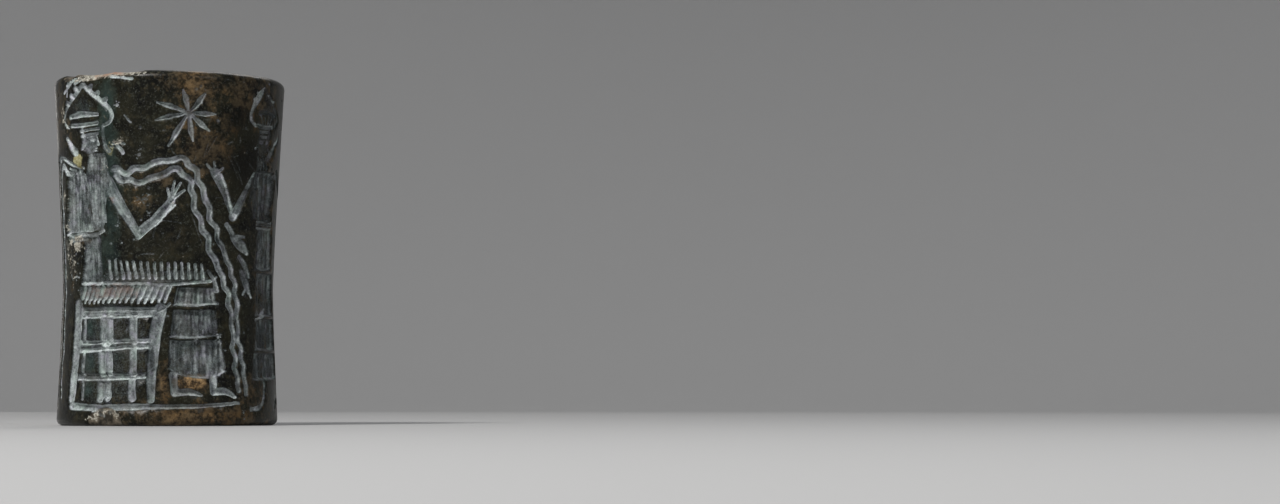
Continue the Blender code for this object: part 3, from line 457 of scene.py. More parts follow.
def vizier(cut):
    """Standing figure with a raised hand, before the enthroned one."""
    # worn hat: a leaf-shaped near horn with two tips, the rest faint
    cut.stroke([(11.0, 36.6), (10.45, 36.0), (9.95, 35.4), (9.45, 34.7), (9.15, 34.1)], (0.34, 0.3),
               (0.22, 0.26), (0.95, 1.3), swell=1.7)
    cut.stroke([(9.2, 34.2), (9.0, 33.6), (9.15, 33.0), (9.75, 32.5)], (0.36, 0.5), 0.22,
               (0.95, 0.6))
    for a, b in (((10.2, 35.7), (9.9, 36.0)), ((9.65, 35.0), (9.4, 35.3))):
        cut.stroke([a, b], (0.5, 0.42), 0.24, 0.95, smooth=False)
    cut.stroke([(11.3, 36.5), (12.0, 35.8), (13.0, 35.2), (13.6, 34.4), (14.4, 33.4), (13.7, 32.6)],
               (0.5, 0.45), 0.28, 0.36)
    for x, h in ((12.0, 35.85), (13.05, 35.3), (14.3, 33.5), (11.75, 37.2), (9.95, 30.0)):
        cut.oval(x, h, 0.38, 0.32, 0.12, 0.9, False, 20)
    cut.stroke([(10.4, 33.9), (11.8, 34.1), (13.5, 33.8)], (0.55, 0.5), 0.24, 0.34)
    cut.stroke([(10.2, 32.5), (11.5, 32.35), (13.2, 32.5)], (0.5, 0.45), 0.24, 0.5)
    for k in range(4):
        cut.stroke([(10.5 + 0.85 * k, 33.9), (10.9 + 0.55 * k, 33.1), (11.1 + 0.4 * k, 32.4)], 0.24,
                   0.12, 0.42)
    cut.stroke([(14.2, 30.8), (14.75, 31.5)], 0.32, 0.14, 1.1, smooth=False)
    head(cut, 11.5, -1, tone=0.46)
    beard(cut, 11.4, 29.0, 25.6, 1.6, 4, 0.42)
    torso(cut, 12.5, 4.8, 3.2, tone=0.4)
    cut.panel([(27.0, 9.8, 11.6), (24.6, 9.4, 11.3), (22.4, 10.2, 11.1)], 0.34, 2, 0.06, 3.0, 0.34)
    arm(cut, [(10.0, 27.2), (8.5, 24.8), (7.2, 22.5)], (0.5, 1.15), 0.34, 0.66)
    cut.stroke([(7.2, 22.6), (6.1, 24.8), (4.8, 27.1)], (0.6, 1.15), 0.3, 0.55, body=True)
    cut.stroke([(7.2, 22.9), (6.4, 24.9), (5.5, 27.0)], 0.2, 0.1, 0.85)
    hand(cut, (4.9, 26.9), [(3.8, 27.9), (4.6, 28.2), (5.7, 27.7)], 0.7)
    arm(cut, [(15.1, 27.5), (18.4, 24.2), (19.0, 19.9), (20.1, 17.6)], (1.1, 0.5), 0.38, 0.55)
    tiers(cut, [(21.4, 16.9, 10.9, 14.7), (16.6, 11.9, 11.0, 15.6), (11.6, 8.2, 10.9, 16.3),
                (7.9, 5.0, 10.3, 17.3)], 8, 0.42, 1.1)
    cut.stroke([(10.9, 11.4), (12.2, 11.7), (14.2, 12.6)], (0.4, 0.5), 0.2, 0.9)
    cut.stroke([(12.3, 4.9), (12.35, 4.0), (12.05, 2.8), (11.35, 1.95), (9.8, 1.7)], (0.6, 0.5), 0.3,
               (0.7, 1.15))
    foot(cut, (16.9, 4.7), (17.2, 2.5), (15.2, 2.0), 0.7, 0.6)
    # two small fish rising beside the streams
    cut.stroke([(6.4, 21.6), (7.3, 20.5)], (0.6, 0.7), 0.26, 0.75, smooth=False)
    cut.stroke([(7.3, 20.3), (8.2, 19.6), (9.3, 18.6)], (0.8, 0.55), 0.32, 0.7, swell=0.9)
    for x, h, r in ((6.6, 21.3, 0.5), (7.9, 20.0, 0.5), (8.5, 19.5, 0.36), (9.0, 18.8, 0.4),
                    (9.7, 14.4, 0.4), (9.3, 17.0, 0.3), (5.2, 15.9, 0.4), (5.3, 14.6, 0.34)):
        cut.oval(x, h, r, r * 0.7, 0.12, 1.05, False, 50)
    cut.stroke([(7.9, 20.4), (8.9, 20.3)], (0.42, 0.3), 0.18, 0.85)
    cut.stroke([(8.2, 18.2), (9.0, 17.3), (9.8, 16.1)], (0.5, 0.44), 0.24, 0.62, swell=0.6)
    cut.stroke([(8.6, 16.6), (9.2, 15.6), (9.8, 14.4)], (0.7, 0.6), 0.3, 0.55, swell=0.7)
    cut.stroke([(8.8, 14.1), (9.4, 14.7), (10.1, 13.9)], (0.3, 0.4), 0.2, 0.85)


def bird_man(cut):
    """Captive with a man's head and arms and a bird's tail and legs."""
    cut.stroke([(26.1, 33.0), (25.6, 35.3), (23.5, 36.2), (21.4, 35.2), (21.1, 33.8)], 0.75, 0.4,
               0.75, body=True)
    for k in range(7):                       # hair over the brow
        x = 21.6 + 0.62 * k
        cut.stroke([(x, 34.4), (x + 0.1, 35.6 - 0.06 * (k - 3) ** 2)], 0.3, 0.16, 0.7)
    head(cut, 23.0, -1, 32.6, 2.3, 3.0, 0.75, bun=False)
    cut.oval(25.2, 32.3, 1.3, 2.1, 0.4, 0.7)
    beard(cut, 23.2, 31.2, 26.4, 1.9, 5, 0.65)
    torso(cut, 24.3, 5.2, 2.8, 28.3, 22.6, 0.5)
    arm(cut, [(26.4, 28.4), (28.9, 24.8), (31.9, 24.0)], (1.15, 0.75))
    hand(cut, (31.7, 24.0), [(34.2, 24.1), (34.0, 23.5), (33.2, 23.1)])
    arm(cut, [(21.2, 27.4), (22.5, 24.2), (26.2, 23.3), (31.2, 22.2)], (1.15, 0.65))
    cut.panel([(21.6, 23.4, 26.6), (19.4, 23.3, 27.0), (16.6, 23.6, 27.0)], 0.46, 6, 0.12, 3.0, 0.55,
              wave=0.1)
    for k in range(3):
        cut.stroke([(23.5, 20.9 - 1.3 * k), (25.2, 20.4 - 1.3 * k), (27.0, 20.7 - 1.3 * k)], 0.26,
                   0.12, 0.85)
    for k in range(6):                       # tail feathers fan out behind
        t = k / 5
        cut.stroke([(25.4 + 1.2 * (1 - t), 20.8 - 2.6 * t), (28.7, 18.9 - 2.6 * t),
                    (31.6, 18.1 - 2.8 * t), (34.5 - 1.0 * t, 16.9 - 1.9 * t)], (0.5, 0.72),
                   (0.3, 0.34), 0.66)
        cut.stroke([(34.0 - 1.0 * t, 17.2 - 2.1 * t), (34.9 - 1.0 * t, 16.6 - 1.9 * t)], 0.4, 0.2,
                   0.8)
    for k in range(4):
        cut.stroke([(29.0 + k, 18.9 - 0.35 * k), (28.6 + k, 15.6 - 0.1 * k)], 0.2, 0.1, 0.7)
    cut.stroke([(26.2, 17.2), (27.8, 13.8), (29.0, 10.8)], (1.8, 0.8), 0.45, 0.6, body=True)
    cut.stroke([(29.0, 10.8), (28.5, 3.5)], 0.62, 0.38, 0.65, body=True)
    cut.stroke([(24.5, 17.2), (24.2, 13.0), (24.5, 9.1)], (1.8, 0.8), 0.45, 0.6, body=True)
    cut.stroke([(24.5, 9.1), (22.8, 3.5)], 0.62, 0.38, 0.65, body=True)
    for x in (28.5, 22.9):
        for reach in (-2.0, -0.6, 0.5, 1.4):
            cut.stroke([(x, 3.7), (x + reach * 0.7, 2.5), (x + reach, 1.9)], (0.5, 0.26),
                       (0.32, 0.16), 0.75)
    cut.stroke([(34.6, 35.5), (29.4, 32.7), (26.2, 30.4), (22.0, 29.9), (18.4, 28.8)], 0.34, 0.2,
               0.7)
    cut.stroke([(18.4, 28.8), (19.5, 25.1), (20.0, 22.2), (20.0, 19.9)], 0.36, 0.22, 0.7)


def guards(cut):
    """Two standing attendants behind the captive."""
    horned_hat(cut, 40.3, 6.6, 36.9, 32.6)
    head(cut, 39.9, -1, tone=0.8)
    beard(cut, 39.3, 29.0, 23.8, 1.7, 5)
    torso(cut, 40.1)
    arm(cut, [(37.6, 26.5), (32.2, 26.7), (28.8, 33.1)], (1.15, 0.7))
    hand(cut, (28.9, 32.8), [(28.2, 33.9), (28.9, 34.2), (29.5, 33.7)])
    arm(cut, [(37.9, 23.2), (31.6, 22.9)], (1.05, 0.75))
    hand(cut, (31.8, 22.9), [(31.5, 24.1), (31.0, 23.4), (31.9, 21.9)])
    skirt(cut, (38.0, 42.2), (36.1, 43.1), low=5.6)
    foot(cut, (41.5, 5.3), (41.7, 2.8), (39.7, 2.3))
    foot(cut, (37.9, 5.3), (38.2, 2.8), (35.5, 2.3))

    horned_hat(cut, 48.4, 6.2, 36.7, 32.4)
    head(cut, 48.6, -1, tone=0.8)
    beard(cut, 48.4, 29.0, 24.8, 1.6, 5)
    torso(cut, 49.3)
    arm(cut, [(51.1, 27.0), (52.6, 22.9), (47.4, 25.5)], (1.15, 0.75))
    arm(cut, [(46.9, 27.0), (45.5, 24.0), (44.1, 29.4)], (1.05, 0.65))
    hand(cut, (44.1, 29.2), [(43.7, 30.3), (44.3, 30.5), (44.8, 29.9)])
    hand(cut, (47.5, 25.4), [(46.6, 26.2), (46.3, 25.6), (46.7, 25.0)])
    skirt(cut, (47.2, 51.2), (45.6, 53.0), low=5.3)
    foot(cut, (51.6, 5.0), (51.8, 2.7), (50.0, 2.2))
    foot(cut, (47.5, 5.0), (47.8, 2.7), (45.2, 2.3))
    cut.stroke([(57.0, 29.3), (53.4, 28.4), (47.8, 28.2), (44.5, 29.1), (41.8, 29.2)], 0.34, 0.2,
               0.75)
    cut.stroke([(53.2, 29.8), (53.9, 25.4), (53.5, 18.0), (52.8, 12.0), (53.9, 10.0),
                (53.4, 9.0)], 0.42, 0.26, 0.75)
    for k in range(8):                       # bag of netting hung on the staff
        h = 17.2 - 0.75 * k
        cut.stroke([(53.1, h), (55.2, h - 0.6)], 0.28, 0.16, 0.7)
        cut.stroke([(53.1, h - 0.7), (55.2, h + 0.0)], 0.22, 0.12, 0.6)


# -------------------------------------------------------------------- wear
CHIPS = [                # (s, h, across, up, deep) of losses along the ends
    (-8.6, 38.0, 5.6, 1.1, 0.45), (-12.4, 37.95, 3.0, 0.9, 0.3), (-4.6, 38.1, 4.0, 0.8, 0.3),
    (-6.9, 0.4, 4.4, 1.6, 0.35), (21.0, 38.0, 6.0, 1.3, 0.4), (39.0, 0.2, 5.0, 1.2, 0.35),
]


def wear(s, h):
    deep = np.zeros_like(s)
    for s0, h0, across, up, most in CHIPS:
        ds = (s - s0 + ROUND_MM / 2) % ROUND_MM - ROUND_MM / 2
        q = 1 - (ds / (across / 2)) ** 2 - ((h - h0) / up) ** 2
        deep = np.maximum(deep, most * np.clip(q, 0, 1) ** 0.6)
    return deep


def scratches(cut, count, seed):
    """Fine scratches and pits of long handling, fewer than they look."""
    rng = np.random.RandomState(seed)
    for _ in range(count):
        s, h = rng.uniform(0, ROUND_MM), rng.uniform(0.8, HEIGHT - 0.8)
        a, long = rng.uniform(0, math.pi), rng.uniform(0.3, 1.8)
        bend = rng.uniform(-0.15, 0.15)
        end = (s + long * math.cos(a), h + long * math.sin(a))
        mid = ((s + end[0]) / 2 + bend, (h + end[1]) / 2 + bend)
        cut.stroke([(s, h), mid, end], rng.uniform(0.1, 0.2), rng.uniform(0.02, 0.05),
                   rng.uniform(0.12, 0.34))
    for _ in range(count):
        s, h = rng.uniform(0, ROUND_MM), rng.uniform(0.8, HEIGHT - 0.8)
        r = rng.uniform(0.15, 0.42)
        cut.oval(s, h, r, r * rng.uniform(0.6, 1.4), r * 0.25, rng.uniform(0.15, 0.5), False,
                 rng.uniform(0, 180))


def marks(cut):
    """The larger scratches and pits of the front."""
    for a, b, wide, tone in (((2.4, 22.3), (3.6, 19.4), 0.12, 0.3), ((4.0, 30.1), (3.5, 28.7), 0.12, 0.35),
                             ((6.3, 29.0), (7.6, 26.4), 0.12, 0.22), ((6.9, 28.8), (8.1, 26.9), 0.1, 0.2),
                             ((-1.4, 22.0), (1.2, 21.6), 0.14, 0.25),
                             ((1.2, 20.9), (0.6, 19.5), 0.14, 0.25),
                             ((-0.5, 18.6), (-1.1, 17.9), 0.14, 0.22),
                             ((-2.9, 18.3), (-1.6, 18.3), 0.16, 0.45),
                             ((3.8, 28.9), (4.9, 31.0), 0.14, 0.25),
                             ((-4.6, 33.1), (-3.9, 32.3), 0.26, 0.6)):
        cut.stroke([a, b], wide, 0.05, tone, smooth=False)
    for a, b, wide, tone in (((-12.4, 36.7), (-10.4, 37.5), 0.4, 1.3),
                             ((-11.0, 36.8), (-9.2, 37.5), 0.36, 1.3),
                             ((-6.0, 37.35), (-3.8, 36.95), 0.34, 1.3),
                             ((-13.1, 36.0), (-11.6, 36.9), 0.34, 1.2),
                             ((-12.6, 35.6), (-12.2, 37.2), 0.26, 1.1),
                             ((-8.3, 1.5), (-7.0, 1.1), 0.4, 1.2),
                             ((-6.3, 1.4), (-5.2, 1.2), 0.3, 1.0)):
        cut.stroke([a, b], wide, 0.08, tone, smooth=False)
    for k in range(16):                      # pits of the worn left edge
        cut.oval(-13.3 + 0.37 * (5 * k % 8), 14.2 + 0.36 * k, 0.3, 0.2, 0.04, 0.8, False, 20 * k)
    cut.stroke([(-12.4, 15.85), (-11.8, 16.0), (-11.2, 15.9)], 0.26, 0.05, 0.9)
    cut.stroke([(-13.0, 16.3), (-12.6, 15.6)], 0.22, 0.05, 0.7)
    for s, h, r, tone in ((8.9, 10.0, 0.24, 0.8), (6.3, 8.0, 0.22, 0.8), (8.6, 1.4, 0.34, 0.8),
                          (8.7, 0.7, 0.22, 0.8), (5.5, 9.4, 0.36, 1.2), (5.7, 8.9, 0.28, 1.2),
                          (3.7, 12.2, 0.3, 0.95), (3.6, 10.5, 0.28, 0.95), (3.0, 9.2, 0.28, 0.9),
                          (-5.4, 34.2, 0.42, 0.9), (-2.6, 24.2, 0.5, 0.6), (-2.2, 24.6, 0.3, 0.6),
                          (-2.1, 22.7, 0.34, 0.5), (-5.6, 21.4, 0.4, 0.6), (-5.1, 19.5, 0.3, 0.6),
                          (-3.1, 28.9, 0.5, 0.5), (-2.9, 29.5, 0.34, 0.4)):
        cut.oval(s, h, r, r * 0.8, 0.08, tone, False, 30)
        for k in range(4):
            a = 2.4 * k + s
            cut.oval(s + 0.7 * r * math.cos(a), h + 0.9 * r * math.sin(a), r * 0.5, r * 0.3, 0.06,
                     tone, False, 40 * k)


# --------------------------------------------------------------------- make
def corner(radius, height, r, a0, a1, steps=10):
    out = []
    for k in range(steps + 1):
        a = math.radians(a0 + (a1 - a0) * k / steps)
        out.append((radius + r * math.cos(a), height + r * math.sin(a)))
    return out


def half_profile():
    top_r = float(side_radius(HEIGHT - TOP_ROUND))
    foot_r = float(side_radius(FOOT_ROUND))
    rim = corner(top_r - TOP_ROUND, HEIGHT - TOP_ROUND, TOP_ROUND, 90, 0)
    side = [(float(side_radius(h)), h)
            for h in np.linspace(HEIGHT - TOP_ROUND, FOOT_ROUND, ROWS)[1:-1]]
    base = corner(foot_r - FOOT_ROUND, FOOT_ROUND, FOOT_ROUND, 0, -90)
    foot_end = [(r, 0.0) for r in (10.4, 9.0, 7.5, 6.0, 4.5)] + [(MOUTH_R + 0.25, 0.0)]
    mouth = [(MOUTH_R, 0.2), (BORE_R + 0.1, MOUTH_DEEP)]
    bore = [(BORE_R, 3.0 + 2.0 * k) for k in range(17)]
    mouth_up = [(BORE_R + 0.1, HEIGHT - MOUTH_DEEP), (MOUTH_R, HEIGHT - 0.2),
                (MOUTH_R + 0.25, HEIGHT)]
    top_end = [(r, HEIGHT) for r in np.arange(4.0, 11.4, 0.4)]
    return rim + side + base + foot_end + mouth + bore + mouth_up + top_end


def turned_body(name):
    profile = half_profile()
    mesh = bpy.data.meshes.new(name + "_outline")
    mesh.from_pydata([(r / 1000, 0, h / 1000) for r, h in profile],
                     [(k, (k + 1) % len(profile)) for k in range(len(profile))], [])
    body = bpy.data.objects.new(name, mesh)
    bpy.context.scene.collection.objects.link(body)
    screw = body.modifiers.new("turn", "SCREW")
    screw.axis = "Z"
    screw.steps = screw.render_steps = STEPS
    screw.use_merge_vertices = True
    screw.merge_threshold = 0.00001
    screw.use_normal_calculate = True
    graph = bpy.context.evaluated_depsgraph_get()
    turned = bpy.data.meshes.new_from_object(body.evaluated_get(graph))
    body.modifiers.clear()
    body.data = turned
    bpy.data.meshes.remove(mesh)
    return body


def places(mesh):
    co = np.empty(len(mesh.vertices) * 3, dtype=np.float32)
    mesh.vertices.foreach_get("co", co)
    co = co.reshape(-1, 3).astype(float)
    x, y, h = co[:, 0] * 1000, co[:, 1] * 1000, co[:, 2] * 1000
    return co, np.hypot(x, y), np.arctan2(x, -y) * UNROLL_R, h


def hand_cut(s, h):
    """Moves a place a little, so that no line is drawn by a machine."""
    return (s + 0.07 * noise(s, h, 1.5, 11) + 0.03 * noise(s, h, 0.5, 12),
            h + 0.07 * noise(s, h, 1.5, 13) + 0.03 * noise(s, h, 0.5, 14))


def engrave(body, cut):
    mesh = body.data
    co, r, s, h = places(mesh)
    side = np.clip((r - 9.5) / 1.5, 0, 1)
    ws, wh = hand_cut(s, h)
    deep = cut.read(cut.body, ws, wh) + cut.read(cut.cuts, ws, wh)
    lost = wear(s, h)
    rough = 0.011 * noise(s, h, 0.9, 21, 2) + np.where(deep > 0.05, 0.012, 0.0) * noise(s, h, 0.35, 22)
    chip = lost * (1 + 0.35 * noise(s, h, 0.8, 23, 3)) + (lost > 0.01) * 0.04 * noise(s, h, 0.4, 24, 2)
    shift = (deep + chip + 0.03 + 0.03 * noise(s, h, 6.0, 25, 2) + rough) * side
    scale = np.where(r > 9.5, (r - shift) / np.maximum(r, 1e-6), 1.0)
    co[:, 0] *= scale
    co[:, 1] *= scale
    nick = np.clip((h - (HEIGHT - 0.8)) / 0.8, 0, 1) * side
    drop = nick * (0.6 * lost + 0.05 * (1 + noise(s, h, 1.2, 26, 2)))
    on_top = (h > HEIGHT - 0.01) & (r > 3.6)
    ring = np.where(on_top, 0.02 * (1 + noise(s * r / 11.5, r * 3, 2.5, 27, 2)), 0.0)
    co[:, 2] -= (drop + ring) / 1000
    mesh.vertices.foreach_set("co", co.astype(np.float32).ravel())
    mesh.update()


def thin_out(body):
    work = bmesh.new()
    work.from_mesh(body.data)
    bmesh.ops.recalc_face_normals(work, faces=work.faces[:])
    corners = sum(len(f.verts) - 2 for f in work.faces)
    work.to_mesh(body.data)
    work.free()
    thin = body.modifiers.new("facets", "DECIMATE")
    thin.ratio = KEEP_TRIANGLES / corners
    thin.use_collapse_triangulate = True
    graph = bpy.context.evaluated_depsgraph_get()
    mesh = bpy.data.meshes.new_from_object(body.evaluated_get(graph))
    body.modifiers.clear()
    old = body.data
    body.data = mesh
    bpy.data.meshes.remove(old)


# colour patches on the stone: (s, h, across, up, how much)
BROWN = [(2.6, 36.4, 2.2, 2.8, 0.8), (8.3, 35.6, 3.2, 3.0, 0.62), (3.6, 30.2, 3.4, 3.2, 0.72),
         (0.6, 36.9, 3.0, 1.2, 0.4), (5.5, 30.5, 2.2, 3.6, 0.35), (11.5, 36.5, 3.0, 2.4, 0.5),
         (2.6, 4.7, 2.0, 0.9, 1.35), (-0.4, 4.2, 0.7, 2.6, 0.9), (3.0, 1.0, 9.0, 1.6, 0.8),
         (9.5, 3.6, 2.2, 2.6, 0.55), (11.5, 2.4, 2.5, 2.2, 0.4), (-1.0, 26.3, 1.6, 1.0, 0.6),
         (-3.2, 23.8, 2.5, 2.5, 0.3), (24.0, 6.0, 5.0, 5.0, 0.6), (31.0, 30.0, 6.0, 5.0, 0.5),
         (45.0, 16.0, 4.0, 9.0, 0.5), (55.0, 33.0, 6.0, 4.0, 0.5), (-17.5, 10.0, 3.0, 8.0, 0.4),
         (13.0, 20.0, 2.6, 13.0, 0.42),
         (-10.7, 19.8, 1.2, 0.4, 0.8), (-12.6, 17.3, 1.0, 2.6, 0.44)]
# the first three green patches make a tall band down the front left: a painted teal reflection; the other
# green patches are green tints
GREEN_AND_SHEEN = [(-6.6, 33.5, 1.3, 4.5, 0.8), (-6.3, 25.0, 1.2, 9.0, 0.7), (-7.0, 18.0, 1.4, 5.0, 0.6),
         (-12.0, 35.0, 2.0, 2.0, 0.3), (16.0, 24.0, 3.0, 9.0, 0.5), (36.0, 14.0, 4.0, 10.0, 0.5),
         (58.0, 20.0, 3.0, 8.0, 0.4), (-9.7, 34.2, 1.4, 1.0, 0.5), (-9.2, 10.4, 0.9, 1.2, 0.8),
         (-9.2, 6.8, 0.8, 1.3, 0.75), (-9.2, 4.0, 0.9, 0.9, 0.9), (-5.2, 7.2, 0.8, 0.9, 0.5)]
DARK = [(8.8, 28.2, 2.8, 3.4, 0.8), (7.6, 33.0, 2.4, 2.0, 0.6), (5.9, 14.0, 0.9, 3.6, 0.5),
        (9.9, 12.0, 0.9, 6.0, 0.5), (4.6, 26.0, 1.2, 6.0, 0.4), (-1.0, 20.0, 5.0, 3.0, 0.4),
        (29.0, 20.0, 5.0, 8.0, 0.4)]
CREAM = [(-7.6, 37.7, 2.6, 0.55, 0.9), (-5.0, 37.75, 2.4, 0.4, 0.7), (-9.9, 37.4, 1.2, 0.5, 0.6),
         (-11.6, 20.15, 1.2, 0.4, 0.75), (-11.3, 19.3, 0.8, 0.6, 0.8), (-12.9, 19.8, 0.5, 0.4, 0.6),
         (-14.6, 23.6, 0.8, 3.4, 0.42), (-13.9, 18.0, 0.7, 2.4, 0.42),
         (-11.9, 15.9, 0.8, 0.35, 0.46), (-12.6, 17.3, 0.9, 2.2, 0.45), (-6.8, 1.2, 1.7, 0.5, 0.46),
         (-8.2, 1.0, 1.2, 0.5, 0.42), (-13.6, 33.0, 0.8, 2.4, 0.44),
         (-5.4, 30.2, 0.7, 0.4, 0.44), (-6.7, 29.7, 0.5, 0.6, 0.43),
         (-7.4, 27.6, 0.8, 0.8, 0.42), (22.0, 37.7, 2.6, 0.5, 0.6), (39.5, 0.9, 2.4, 0.7, 0.6),
         (50.0, 20.5, 1.2, 0.8, 0.5)]
YELLOW = [(-10.85, 28.5, 0.66, 0.66, 1.4), (-2.9, 28.5, 0.4, 0.35, 0.38), (-6.3, 29.6, 0.9, 1.0, 0.40)]
PINK = [(-6.4, 24.0, 0.5, 0.6, 0.7), (-6.6, 14.4, 4.6, 0.9, 0.6), (-4.6, 14.0, 2.0, 0.7, 0.5), (-6.4, 37.6, 2.0, 0.5, 0.7),
        (0.9, 24.0, 1.0, 1.0, 0.3)]


def blobs(patches, s, h, seed, fray=0.45, cell=0.9):
    """How near each place is to a patch; the stone's own grain frays it."""
    total = np.zeros_like(s)
    ragged = noise(s, h, cell, seed, 3)
    for s0, h0, across, up, much in patches:
        ds = (s - s0 + ROUND_MM / 2) % ROUND_MM - ROUND_MM / 2
        far = np.hypot(ds / across, (h - h0) / up) + fray * ragged
        total = np.maximum(total, much * np.clip(1.3 - 0.8 * far, 0, 1))
    return np.clip(total, 0, 1)


def over_rim(r, h):
    """Height that runs on past the rim across the end faces."""
    inward = np.clip(11.4 - r, 0, None)
    return np.where(h > HEIGHT - 1.0, h + inward, np.where(h < 1.0, h - inward, h))


def paint(body, cut):
    """Puts the tone of the cuts and the patches of colour on the vertices."""
    mesh = body.data
    co, r, s, h = places(mesh)
    side = np.clip((r - 9.2) / 0.8, 0, 1)
    ws, wh = hand_cut(s, h)
    tone = cut.read(cut.tone, ws, wh)
    h = over_rim(r, h)
    tone *= 1 + 0.48 * noise(s, h, 0.45, 41, 2) + 0.3 * noise(s, h, 2.2, 42, 2)
    lost = np.clip(wear(s, np.where(h > HEIGHT, HEIGHT + (h - HEIGHT) * 0.6, h)) * 6, 0, 1)
    tone = np.clip(tone, 0, 1.3) * side
    chip = np.clip(lost * (0.9 + 0.5 * noise(s, h, 0.5, 43, 2)), 0, 1)
    first = np.stack([tone / 1.3, chip, blobs(CREAM, s, h, 51, 0.5, 0.6),
                      blobs(YELLOW, s, h, 52, 0.3, 0.5)], axis=1)
    # the green layer holds the painted teal reflection down the front left as well as green tints
    second = np.stack([blobs(BROWN, s, h, 53, 0.5, 1.6), blobs(GREEN_AND_SHEEN, s, h, 54, 0.5, 1.6),
                       blobs(DARK, s, h, 55, 0.5, 1.6), blobs(PINK, s, h, 56, 0.5, 0.6)], axis=1)
    for name, values in (("cut_marks", first), ("stone_marks_and_sheen", second)):
        layer = mesh.color_attributes.new(name, "FLOAT_COLOR", "POINT")
        layer.data.foreach_set("color", values.astype(np.float32).ravel())


# ---------------------------------------------------------------- material
class Net:
    """Short ways to add shader nodes."""

    def __init__(self, mat):
        self.tree = mat.node_tree
        self.out = None

    def add(self, kind, **given):
        node = self.tree.nodes.new(kind)
        for key, value in given.items():
            setattr(node, key, value)
        return node

    def link(self, a, b):
        self.tree.links.new(a, b)

    def math(self, op, a, b=None, clamp=False):
        node = self.add("ShaderNodeMath", operation=op, use_clamp=clamp)
        for k, v in enumerate((a, b)):
            if v is None:
                continue
            if isinstance(v, (int, float)):
                node.inputs[k].default_value = v
            else:
                self.link(v, node.inputs[k])
        return node.outputs[0]

    def mix(self, factor, a, b):
        node = self.add("ShaderNodeMix", data_type="RGBA")
        for socket, v in ((node.inputs["Factor"], factor), (node.inputs["A"], a),
                          (node.inputs["B"], b)):
            if isinstance(v, (int, float)):
                socket.default_value = v
            elif isinstance(v, tuple):
                socket.default_value = (*v, 1)
            else:
                self.link(v, socket)
        return node.outputs["Result"]

    def noise(self, where, scale, detail=4.0, rough=0.55, stretch=None):
        node = self.add("ShaderNodeTexNoise")
        node.inputs["Scale"].default_value = scale
        node.inputs["Detail"].default_value = detail
        node.inputs["Roughness"].default_value = rough
        self.link(where, node.inputs["Vector"])
        return node.outputs["Fac"]

    def ramp(self, value, low, high, out_low=0.0, out_high=1.0):
        node = self.add("ShaderNodeMapRange", clamp=True)
        node.inputs["From Min"].default_value = low
        node.inputs["From Max"].default_value = high
        node.inputs["To Min"].default_value = out_low
        node.inputs["To Max"].default_value = out_high
        self.link(value, node.inputs["Value"])
        return node.outputs["Result"]


